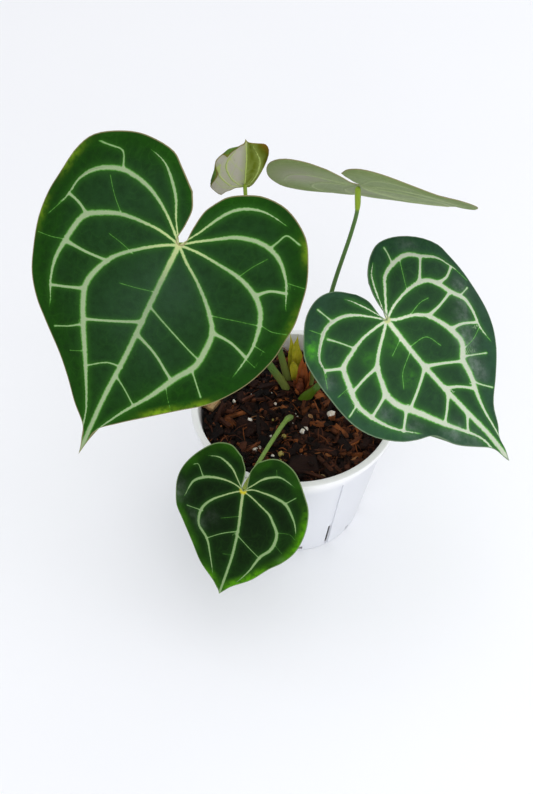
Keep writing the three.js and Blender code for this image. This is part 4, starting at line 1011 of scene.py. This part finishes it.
budScale = sheathMaterial({"yellow": "#b5ad22", "pale": "#c6bf4a", "olive": "#8c9220",
                           "foot": "#7d6c1e", "dry": "#8a6a34"})
for name, (path, width, widest) in sheaths.items():
    points, faces, tip = sweep(path, 60, scaleSection(width, 0.7, 0.62, widest))
    makePiece(name + "_scale", points, faces, budScale, name, "sheath", {"tip": tip})
print("sheaths made:", len(sheaths))
makeCrown(dryMaterial({"dark": "#2c120a", "brown": "#6b3220", "orange": "#b05f2a",
                       "streak": "#92583e"}))


# Pot sizes in millimetres, as in the part's source. Grooves run up the wall at equal turns and
# end in open slots at the base, with a small drain hole midway between them. The columns are
# shifts across a groove and across a drain hole, and both kinds of hole begin on the row openFrom.
potForm = {"height": 90, "baseRadius": 42.8, "wallSpread": 14.8, "wall": 1.6, "floor": 2,
           "recess": 0.6, "grooves": 8, "firstGroove": 28, "grooveHalf": 1.3, "grooveDepth": 0.9,
           "grooveTop": 76, "slotHalf": 1, "slotTop": 24, "drainHalf": 1.7, "drainTop": 6,
           "openFrom": 2.4, "fillers": 7, "foot": 41}
grooveColumns = [-1.75, -1.4, -1.25, -0.95, -0.3, 0.3, 0.95, 1.25, 1.4, 1.75]
drainColumns = [-1.9, -1.6, -0.5, 0.5, 1.6, 1.9]
wallRows = [2.05, 2.4, 6, 12, 18, 24, 30, 36, 42, 48, 54, 60, 66, 72, 75.9, 76.1, 80, 84]


def outsideRadius(z):
    return potForm["baseRadius"] + potForm["wallSpread"] * z / potForm["height"]


def insideRadius(z):
    return outsideRadius(z) - potForm["wall"]


# Potting mix

# Places are x and y in millimetres. A lump's row has its place, its height over the surface, its
# three sizes, the direction of its long side in degrees and its tone. Ranges are from and to, and
# spread is the radius of the scattered places and how far they keep from the stem.
mixForm = {"floor": 2.3, "gap": 0.35, "wall": 56.0, "edgeRise": 4.5, "edgeFrom": 183,
           "edgeReach": 42, "stem": (3, 22)}
barkForm = {"count": 560, "seed": 21, "spread": (53.0, 7.5), "rough": 0.07,
            "sizes": ((4, 12), (2.5, 6.5), (1.2, 3.6)),
            "strips": 90, "stripSizes": ((12, 25), (1.5, 3.4), (1, 2))}
crumbForm = {"count": 950, "seed": 22, "spread": (54.0, 5.0), "rough": 0.1, "size": (0.8, 2.8)}
strandForm = {"count": 420, "seed": 24, "spread": (50.0, 6.0), "rings": 8, "length": (5, 20),
              "bend": 1.6, "radius": (0.16, 0.45), "reach": 53.5}
grainForm = {"spread": (50.0, 9.0), "size": (0.8, 2.2), "lift": 1.2}
perlite = [(-25.9, -5.3, 3.6), (6.7, -11.3, 3.2), (5, -13.2, 4.2), (21.6, 0, 5), (-22.8, -26, 3.4),
           (-20, -24.6, 3), (-13.7, -17.3, 1.6), (-12.6, -31.1, 2.6), (-25.5, 14.8, 2),
           (-35.5, 10.5, 3), (-27, 7, 2.2), (-11, 8.5, 1.8), (-1, -7, 2)]
pellets = [(-6.2, -16.5, 3.6), (-8, -30.4, 3.8), (10, 27.5, 4)]
barkByHand = [
    (-47.8, 3.9, 4.0, 9, 7, 4, 60, 1.0), (4.3, -37, 2.6, 16, 14, 5, 10, 0.26),
    (19, -47, 1.8, 15, 1.8, 1.8, 15, 1.05), (38, -33, 1.4, 14, 1.6, 1.6, 38, 0.9),
    (15, -24.5, 1.4, 22, 4, 2, -29, 0.3), (12, -17, 0.6, 18, 9, 1.5, -6, 0.38),
    (-30, -13, 0.4, 13, 9, 3, 20, 0.14), (-29, -22, 0.2, 12, 8, 3, -30, 0.12),
    (27, -12, 1, 12, 3, 2, -50, 0.72), (33, -22, 1, 10, 3, 2, 35, 0.75),
    (24, -27, 1, 11, 3, 2, -20, 0.7), (30, 5, 1.2, 9, 5, 2.5, 70, 0.66),
    (15, 14, 2, 6, 4, 2, 20, 0.82), (10, 20, 3, 6, 3, 2, 70, 0.8),
    (0, 10.5, 1.4, 12, 1.8, 1.6, -22, 0.78), (20, 9, 1.6, 8, 3.5, 2, 40, 0.62),
]


# Heights from -1 to 1 that wave with about the given wavelength, as nine crossing sine waves.
def ripples(x, y, wavelength, seed):
    draw = np.random.default_rng(seed)
    turn, phase = draw.uniform(0, 2 * math.pi, (2, 9))
    rate = 2 * math.pi / (wavelength * draw.uniform(0.7, 1.5, 9))
    across = x[..., None] * np.cos(turn) + y[..., None] * np.sin(turn)
    return np.sin(across * rate + phase).mean(axis=-1) * 2


# The surface: waves of bark size, low at the wall, but heaped against it on the left.
def soilHeight(x, y):
    reach = np.hypot(x, y) / mixForm["wall"]
    turn = np.degrees(np.arctan2(y, x)) % 360
    heap = np.exp(-((turn - mixForm["edgeFrom"]) / mixForm["edgeReach"]) ** 2)
    heap = heap * smooth(0.7, 0.96, reach)
    waves = 1.1 * ripples(x, y, 17, 3) + 0.6 * ripples(x, y, 6, 4)
    return soilLevel + waves - 1.2 * reach ** 4 + mixForm["edgeRise"] * heap


# The filled body below the loose pieces: rings from the middle of the base, up the wall and
# over the surface to its middle.
def makeMixBody(material):
    sides, wallRings, topRings = 160, 14, 46
    angle = np.linspace(0, 2 * math.pi, sides, endpoint=False)
    low = mixForm["floor"]
    edge = insideRadius(76.0) - mixForm["gap"]
    shares = np.linspace(1, 0, topRings + 1)[:-1]
    x, y = (edge * shares[:, None] * wave for wave in (np.cos(angle), np.sin(angle)))
    top = np.stack([x, y, soilHeight(x, y)], axis=2)
    z = low + (top[0, :, 2] - low) * np.linspace(0, 1, wallRings, endpoint=False)[:, None]
    radius = insideRadius(z) - mixForm["gap"]
    wall = np.stack([radius * np.cos(angle), radius * np.sin(angle), z], axis=2)
    rings = np.concatenate([wall, top])
    middle = np.array([[0, 0, low], [0, 0, float(soilHeight(np.zeros(1), np.zeros(1))[0])]])
    points = np.concatenate([rings.reshape(-1, 3), middle])
    makePiece("mix_body", points, ringSkin(len(rings), sides), material, "potting_mix",
              "bark_mix", {"tone": np.zeros(len(points)), "local": points})


# A rounded block two units across, of 26 points and 24 faces: the outer points of a 3 by 3 by 3
# lattice, drawn in to the given roundness.
def roundedBlock(roundness):
    lattice = np.indices((3, 3, 3)).reshape(3, -1).T - 1.0
    size = np.maximum(np.linalg.norm(lattice, axis=1, keepdims=True), 1)
    order = np.arange(27).reshape(3, 3, 3)
    faces = []
    for axis in range(3):
        for end in (0, 2):
            side = order.take(end, axis=axis)
            quads = np.stack([side[:-1, :-1], side[1:, :-1], side[1:, 1:], side[:-1, 1:]], axis=2)
            outward = (end == 2) != (axis == 1)
            faces.append(quads.reshape(-1, 4)[:, ::1 if outward else -1])
    faces = np.concatenate(faces)
    return np.delete(lattice / size ** roundness, 13, axis=0), faces - (faces > 13)


# Copies of a rounded block: places and sizes are (n, 3), turns (n, 3) are the roll, the pitch and
# the heading in radians, and rough is how far each point is moved at random, as a share of the
# size. The last result is each point's place within its own block, for the grain.
def copies(roundness, places, sizes, turns, rough, draw):
    shape, faces = roundedBlock(roundness)
    local = shape * (sizes[:, None] / 2)
    moved = local + draw.uniform(-rough, rough, local.shape) * sizes[:, None]
    x, y, z = moved[..., 0], moved[..., 1], moved[..., 2]
    roll, pitch, heading = turns.T[..., None]
    y, z = y * np.cos(roll) - z * np.sin(roll), y * np.sin(roll) + z * np.cos(roll)
    x, z = x * np.cos(pitch) + z * np.sin(pitch), z * np.cos(pitch) - x * np.sin(pitch)
    x, y = x * np.cos(heading) - y * np.sin(heading), x * np.sin(heading) + y * np.cos(heading)
    points = np.stack([x, y, z], axis=2) + places[:, None]
    starts = np.arange(len(places))[:, None, None] * len(shape)
    local = local + draw.uniform(0, 400, (len(places), 1, 3))
    return points.reshape(-1, 3), (faces + starts).reshape(-1, 4), local.reshape(-1, 3)


# Random places on the surface, evenly spread within the outer radius, and at least clear
# millimetres from the stem.
def scatter(count, draw, outer, clear):
    radius = outer * np.sqrt(draw.uniform(0, 1, count))
    turn = draw.uniform(0, 2 * math.pi, count)
    x, y = radius * np.cos(turn), radius * np.sin(turn)
    away = np.stack([x, y], axis=1) - mixForm["stem"]
    gap = np.maximum(np.linalg.norm(away, axis=1, keepdims=True), 0.1)
    x, y = (np.stack([x, y], axis=1) + away / gap * np.maximum(0, clear - gap)).T
    return np.stack([x, y, soilHeight(x, y)], axis=1)


# One random number a row from each of the ranges, as columns.
def drawn(draw, count, ranges):
    return np.stack([draw.uniform(low, high, count) for low, high in ranges], axis=1)


# Broken chips that lie nearly flat, of which the first ones are long thin strips, and then the
# listed chips. What would pass the pot's wall is moved in.
def makeBark(material):
    draw = np.random.default_rng(barkForm["seed"])
    count = barkForm["count"]
    places = scatter(count, draw, *barkForm["spread"])
    sizes = drawn(draw, count, barkForm["sizes"]) * draw.uniform(0.6, 1.15, (count, 1))
    turns = np.stack([draw.normal(0, 0.35, count), draw.normal(0, 0.3, count),
                      draw.uniform(0, math.pi, count)], axis=1)
    places[:, 2] += draw.uniform(-1.2, 1.6, count)
    # chips towards +X, on the right, get a lighter, oranger tone and those on the left a darker one:
    # a painted highlight of the light from the right, on each chip's random tone
    tone = draw.beta(1.5, 3.2, count) + 0.2 * smooth(-5, 35, places[:, 0]) - 0.1
    strip = np.arange(count) < barkForm["strips"]
    sizes[strip] = drawn(draw, barkForm["strips"], barkForm["stripSizes"])
    places[strip, 2] += 0.9
    tone[strip] += 0.15
    rows = np.array(barkByHand, dtype=float)
    x, y, height, heading = rows[:, [0, 1, 2, 6]].T
    places = np.concatenate([places, np.stack([x, y, soilHeight(x, y) + height], axis=1)])
    sizes = np.concatenate([sizes, rows[:, 3:6]])
    turns = np.concatenate([turns, np.stack([0 * x, 0 * x, np.radians(heading)], axis=1)])
    tone = np.concatenate([tone, rows[:, 7]])
    inside = np.hypot(places[:, 0], places[:, 1]) + sizes[:, 0] * 0.5
    shrink = np.minimum(1, (insideRadius(places[:, 2] - 2) - mixForm["gap"]) / inside)
    places[:, :2] *= shrink[:, None]
    points, faces, local = copies(0.3, places, sizes, turns, barkForm["rough"], draw)
    makePiece("bark_chips", points, [faces], material, "potting_mix", "bark_mix",
              {"tone": np.repeat(tone, len(points) // len(tone)), "local": local}, 32)


# Small round crumbs of rotted bark and coir, turned every way.
def makeCrumbs(material):
    draw = np.random.default_rng(crumbForm["seed"])
    count = crumbForm["count"]
    places = scatter(count, draw, *crumbForm["spread"])
    places[:, 2] += draw.uniform(-0.2, 2.2, count)
    sizes = draw.uniform(*crumbForm["size"], (count, 1)) * draw.uniform(0.6, 1.3, (count, 3))
    turns = draw.uniform(0, math.pi, (count, 3))
    points, faces, local = copies(0.5, places, sizes, turns, crumbForm["rough"], draw)
    tone = draw.beta(1.3, 2.6, count)
    makePiece("mix_crumbs", points, [faces], material, "potting_mix", "bark_mix",
              {"tone": np.repeat(tone, len(points) // count), "local": local}, 40)


# Grains given as rows of x, y and size, and extra ones at random.
def makeGrains(name, rows, extra, rough, seed, material):
    draw = np.random.default_rng(seed)
    rows = np.array(rows, dtype=float)
    loose = scatter(extra, draw, *grainForm["spread"])
    size = np.concatenate([rows[:, 2], draw.uniform(*grainForm["size"], extra)])
    x, y = np.concatenate([rows[:, :2], loose[:, :2]]).T
    places = np.stack([x, y, soilHeight(x, y) + grainForm["lift"] + 0.2 * size], axis=1)
    sizes = size[:, None] * draw.uniform(0.75, 1.1, (len(size), 3))
    turns = draw.uniform(0, math.pi, (len(size), 3))
    points, faces, _ = copies(0.85, places, sizes, turns, rough, draw)
    makePiece(name, points, [faces], material, "potting_mix", "bark_mix")


# Root hairs and fibre: thin four-sided tubes that bend sideways and lie over the surface.
def makeStrands(material):
    draw = np.random.default_rng(strandForm["seed"])
    count, rings = strandForm["count"], strandForm["rings"]
    start = scatter(count, draw, *strandForm["spread"])
    heading = draw.uniform(0, 2 * math.pi, count)[:, None]
    s = np.linspace(0, 1, rings)[None]
    length = draw.uniform(*strandForm["length"], count)[:, None]
    turn = heading + draw.uniform(-strandForm["bend"], strandForm["bend"], (count, 1)) * s
    x = start[:, :1] + np.cumsum(np.cos(turn), axis=1) * length / rings
    y = start[:, 1:2] + np.cumsum(np.sin(turn), axis=1) * length / rings
    limit = np.minimum(1, strandForm["reach"] / np.hypot(x, y))
    x, y = x * limit, y * limit
    arch = draw.uniform(0.4, 3.4, (count, 1)) * np.sin(math.pi * s)
    lift = draw.uniform(0, 1.4, (count, 1))
    centre = np.stack([x, y, soilHeight(x, y) + arch + lift], axis=2)
    radius = draw.uniform(*strandForm["radius"], (count, 1)) * np.sin(math.pi * (0.1 + 0.85 * s))
    side = np.stack([-np.sin(turn), np.cos(turn), np.zeros_like(turn)], axis=2)
    corner = (np.arange(4) * math.pi / 2)[:, None]
    ring = side[:, :, None] * np.cos(corner) + np.array([0, 0, 1]) * np.sin(corner)
    points = centre[:, :, None] + ring * radius[..., None, None]
    number = np.arange(count * rings * 4).reshape(count, rings, 4)
    after = np.roll(number, -1, axis=2)
    quads = np.stack([number[:, :-1], after[:, :-1], after[:, 1:], number[:, 1:]], axis=3)
    ends = np.concatenate([number[:, 0, ::-1], number[:, -1]])
    tone = np.repeat(draw.beta(2.2, 2.2, count), rings * 4)
    local = np.repeat(draw.uniform(0, 400, (count, 3)), rings * 4, axis=0)
    makePiece("mix_fibres", points.reshape(-1, 3), [quads.reshape(-1, 4), ends], material,
              "potting_mix", "bark_mix", {"tone": tone, "local": local}, 180)


# Composted bark: nearly black where it is damp, red-brown where a chip has split, with the grain
# along each chip and a rough broken surface.
def barkMaterial(look):
    material, add = painter("composted_bark")
    local = add("Attribute", {}, 1, attribute_name="local")
    tone = add("Attribute", {}, 2, attribute_name="tone")
    place = add("TexCoord", {}, 3)
    # local is in millimetres: grain 0.6 mm apart and 5 mm long, damp patches of 9 mm and pits of
    # 0.9 mm, coarser than real ones so that they show
    grainPlace = add("Mapping", {"Vector": local, "Scale": (0.12, 1.0, 1.0)})
    grain = add("TexNoise", {"Vector": grainPlace, "Scale": 1.6, "Detail": 4.0, "Roughness": 0.65})
    damp = add("TexNoise", {"Vector": place, "Scale": 110.0, "Detail": 3.0})
    pits = add("TexNoise", {"Vector": place, "Scale": 1100.0, "Detail": 4.0, "Roughness": 0.7})
    mixed = add("Math", {0: grain, 1: 0.5, 2: tone}, operation="MULTIPLY_ADD")
    body = layer(
        add, look["black"],
        (look["brown"], (mixed, 0.3, 0.55)),
        (look["red"], (mixed, 0.55, 0.8)),
        (look["orange"], (mixed, 0.8, 1.05)),
        (look["tan"], (mixed, 1.1, 1.35)),
        (look["black"], (damp, 0.45, 0.65), 0.65),
        (look["black"], (pits, 0.55, 0.75), 0.6))
    finish(add, body, add("Math", {0: grain, 1: pits}), 0.9, 0.0006, {
        "Roughness": 0.7, "IOR": 1.45, "Specular IOR Level": 0.2})
    return material


# Small hard grains of one colour, pitted: expanded perlite glass, or resin-coated plant food.
def grainMaterial(name, look):
    material, add = painter(name)
    place = add("TexCoord", {}, 3)
    # pits of 0.6 mm, coarser than real ones so that they show, and stains of 2.4 mm
    pits = add("TexNoise", {"Vector": place, "Scale": 1600.0, "Detail": 3.0})
    stain = add("TexNoise", {"Vector": place, "Scale": 420.0, "Detail": 2.0})
    body = layer(add, look["clean"], (look["stain"], (stain, 0.45, 0.7), 0.7))
    finish(add, body, pits, look["pits"], 0.0003, {
        "Roughness": look["rough"], "IOR": 1.5, "Subsurface Weight": 0.2,
        "Subsurface Radius": (1.0, 0.9, 0.7), "Subsurface Scale": 0.001})
    return material


barkLook = {"black": "#0b0504", "brown": "#27130d", "red": "#57301f", "orange": "#96552b",
            "tan": "#b39a70"}
perliteLook = {"clean": "#e9e2d8", "stain": "#b79c84", "pits": 0.8, "rough": 0.75}
foodLook = {"clean": "#b3a555", "stain": "#8c7a34", "pits": 0.3, "rough": 0.35}
bark = barkMaterial(barkLook)
for makeLayer in (makeMixBody, makeBark, makeCrumbs, makeStrands):
    makeLayer(bark)
makeGrains("perlite_grains", perlite, 7, 0.1, 25, grainMaterial("perlite", perliteLook))
makeGrains("plant_food_pellets", pellets, 3, 0.04, 26, grainMaterial("plant_food", foodLook))
print("potting mix made")


# Pot

# The pot's outline as rows of radius and height: underside with its recess, outer wall, rolled
# lip, inner wall and floor. The last two results are the rows where the walls begin.
def potProfile():
    recess, floor, corner = potForm["recess"], potForm["floor"], insideRadius(potForm["floor"])
    under = [(8, recess), (24, recess), (37.5, recess), (38.3, 0), (41.2, 0), (42, 0.06),
             (42.6, 0.35), (42.9, 0.9), (outsideRadius(1.9), 1.9)]
    lip = [(outsideRadius(88.2), 88.2), (outsideRadius(88.6), 88.5), (58.5, 88.55),
           (58.62, 88.3), (58.62, 86.5), (58.75, 86.38), (59.6, 86.38), (59.9, 86.5), (60, 86.8),
           (60, 89.2), (59.85, 89.7), (59.45, 89.95), (58.8, 90), (57, 90), (56.4, 89.95),
           (56.08, 89.7), (insideRadius(89), 89)]
    rows = [*under, *[(outsideRadius(z), z) for z in wallRows], *lip,
            *[(insideRadius(z), z) for z in reversed(wallRows)],
            (corner, floor), (corner - 1, floor), (30, floor), (8, floor)]
    outerStart = len(under)
    innerStart = len(under) + len(wallRows) + len(lip)
    return np.array(rows, dtype=float), outerStart, innerStart


# The columns round the pot: their turn in radians, their shift in millimetres from it, whether
# they are in a groove, and the number of their hole, 0 for none, 1 for a slot and 2 for a drain.
def potColumns():
    fill = np.linspace(0, 1, potForm["fillers"] + 2)[1:-1]
    grooves, drains = np.array(grooveColumns), np.array(drainColumns)
    half = math.pi / potForm["grooves"]
    out = (half * fill, grooves[-1] + (drains[0] - grooves[-1]) * fill)
    back = (half * (1 + fill), drains[-1] + (grooves[0] - drains[-1]) * fill)
    turn = np.concatenate([0 * grooves, out[0], half + 0 * drains, back[0]])
    shift = np.concatenate([grooves, out[1], drains, back[1]])
    isGroove = np.concatenate([np.abs(grooves) < potForm["grooveHalf"], 0 * fill, 0 * drains,
                               0 * fill])
    hole = np.concatenate([1.0 * (np.abs(grooves) < potForm["slotHalf"]), 0 * fill,
                           2.0 * (np.abs(drains) < potForm["drainHalf"]), 0 * fill])
    sector = np.arange(potForm["grooves"])[:, None]
    first = math.radians(potForm["firstGroove"])
    turns = (first + 2 * half * sector + turn).ravel()
    return turns, *[np.tile(value, potForm["grooves"]) for value in (shift, isGroove, hole)]


# Four walls through the pot's thickness round each hole of a kind: out and into are the points on
# the outer and the inner wall, by level from the hole's foot up and by column.
def holeWalls(hole, kind, out, into):
    mine = hole == kind
    starts = np.flatnonzero(mine & (np.roll(hole, 1) != kind))
    ends = np.flatnonzero(mine & (np.roll(hole, -1) != kind))
    here = np.flatnonzero(mine & (np.roll(hole, -1) == kind))
    there = (here + 1) % len(hole)
    walls = []
    for side, flip in ((starts, 1), (ends, -1)):
        quads = [out[:-1, side], into[:-1, side], into[1:, side], out[1:, side]]
        walls.append(np.stack(quads, axis=2).reshape(-1, 4)[:, ::flip])
    for level, flip in ((0, 1), (-1, -1)):
        quads = [out[level, here], out[level, there], into[level, there], into[level, here]]
        walls.append(np.stack(quads, axis=1)[:, ::flip])
    return walls


# The pot: one closed skin over rings of columns, one ring for each row of the outline. The quads
# at the holes are left out of both walls.
def makePot(material):
    rows, outerStart, innerStart = potProfile()
    turns, shift, isGroove, hole = potColumns()
    wallRow = np.arange(len(rows)) - outerStart
    grooved = (wallRow >= 0) & (wallRow < len(wallRows)) & (rows[:, 1] < potForm["grooveTop"])
    radii, z = rows.T[..., None]
    angle = turns + shift / np.maximum(radii, potForm["foot"])
    radius = radii - potForm["grooveDepth"] * isGroove * grooved[:, None]
    # turn 0 is the front, -Y
    grid = np.stack([radius * np.sin(angle), -radius * np.cos(angle), z + 0 * angle], axis=2)
    number = np.arange(angle.size).reshape(angle.shape)
    closed = np.ones((len(rows) - 1, len(turns)), dtype=bool)
    walls = []
    for kind, top in ((1, potForm["slotTop"]), (2, potForm["drainTop"])):
        low, high = wallRows.index(potForm["openFrom"]), wallRows.index(top)
        mine = (hole == kind) & (np.roll(hole, -1) == kind)
        last = innerStart + len(wallRows) - 1
        closed[outerStart + low:outerStart + high, mine] = False
        closed[last - high:last - low, mine] = False
        out = number[outerStart + low:outerStart + high + 1]
        into = number[last - high:last - low + 1][::-1]
        walls += holeWalls(hole, kind, out, into)
    quads, *caps = ringSkin(*angle.shape)
    middle = [[0, 0, potForm["recess"]], [0, 0, potForm["floor"]]]
    points = np.concatenate([grid.reshape(-1, 3), middle])
    inside = np.append(np.repeat(np.arange(len(rows)) >= innerStart - 1, len(turns)), [False, True])
    makePiece("nursery_pot", points, [quads[closed.ravel()], *walls, *caps], material, "pot",
              "pot_plastic", {"inside": inside.astype(float)}, 40)
    print("pot made:", len(points), "points")


# Injection-moulded white polypropylene: satin, faintly uneven, and specked with damp mix inside.
# The wall is painted greyer than the lip up to the level of the mix: partly the dark mix behind the
# thin wall, and partly painted shade, as the wall faces away from the light and the lip faces up.
# The inner wall below the lip is painted pinkish grey, which is painted shade.
def potMaterial(look):
    material, add = painter("white_polypropylene")
    place = add("TexCoord", {}, 3)
    height = add("SeparateXYZ", {"Vector": place}, 2)
    # clouds of 33 mm, specks of 2 mm, and a moulded grain of 0.6 mm, coarser than the real one so
    # that it shows
    cloud = add("TexNoise", {"Vector": place, "Scale": 30.0, "Detail": 2.0})
    grain = add("TexNoise", {"Vector": place, "Scale": 1800.0, "Detail": 2.0})
    specks = add("TexNoise", {"Vector": place, "Scale": 520.0, "Detail": 4.0, "Roughness": 0.7})
    inside = add("Attribute", {}, 2, attribute_name="inside")
    body = layer(
        add, look["wall"],
        # the lip white and the wall below it greyer: partly the mix behind the wall, partly painted
        # shade
        (look["white"], (height, 0.074, 0.083)),
        (look["shade"], cloud, 0.35),
        # painted shade on the inner wall below the lip
        (look["paintedInnerShade"], inside, (height, 0.0885, 0.083), 0.35),
        (look["dirt"], inside, (specks, 0.6, 0.68), (height, 0.0895, 0.084), 0.8))
    finish(add, body, grain, 0.12, 0.0001, {
        "Roughness": 0.4, "IOR": 1.49, "Subsurface Weight": 0.1,
        "Subsurface Radius": (1.0, 1.0, 1.0), "Subsurface Scale": 0.001})
    return material


makePot(potMaterial({"wall": "#dfe1e7", "white": "#fbfbfd", "shade": "#e0e2e7", "paintedInnerShade": "#cbbab7",
                     "dirt": "#4a3226"}))


# Light and floor

studio = {"sky": "#fafbfd", "skyStrength": 0.69, "floor": "#f4f5f8", "floorCloud": "#f0f1f5",
          "reach": 6.0, "aim": (0, 0, 0.12)}
# Disk lamps: their place in metres, their size across and their power.
lamps = {"key": ((0.8, 0.5, 1.9), 3.0, 20.0), "fill": ((0.2, -1.5, 1.1), 2.2, 15.0)}


# An even white sky and the disk lamps, which are turned to the middle of the plant.
def makeStudio():
    scene = bpy.context.scene
    scene.view_settings.view_transform = "Standard"
    scene.world = bpy.data.worlds.new("studio")
    scene.world.use_nodes = True
    sky = scene.world.node_tree.nodes["Background"]
    sky.inputs["Color"].default_value = colour(studio["sky"])
    sky.inputs["Strength"].default_value = studio["skyStrength"]
    for name, (place, size, power) in lamps.items():
        light = bpy.data.lights.new(name, "AREA")
        light.energy, light.size, light.shape = power, size, "DISK"
        lamp = bpy.data.objects.new(name, light)
        lamp.location = place
        towards = np.subtract(studio["aim"], place)
        flat = math.hypot(towards[0], towards[1])
        lamp.rotation_euler = (math.atan2(flat, -towards[2]), 0,
                               math.atan2(towards[1], towards[0]) - math.pi / 2)
        scene.collection.objects.link(lamp)


# White painted board with a faint mottle of a third of a metre.
def makeFloor():
    material, add = painter("white_board")
    cloud = add("TexNoise", {"Vector": add("TexCoord", {}, 3), "Scale": 3.0})
    tone = layer(add, studio["floor"], (studio["floorCloud"], cloud))
    add("OutputMaterial", {"Surface": add("BsdfPrincipled", {"Base Color": tone,
                                                             "Roughness": 0.7})})
    mesh = bpy.data.meshes.new("floor")
    reach = studio["reach"]
    mesh.from_pydata([(-reach, -reach, 0), (reach, -reach, 0), (reach, reach, 0),
                      (-reach, reach, 0)], [], [(0, 1, 2, 3)])
    mesh.materials.append(material)
    floor = bpy.data.objects.new("floor", mesh)
    bpy.context.scene.collection.objects.link(floor)


makeFloor()
makeStudio()
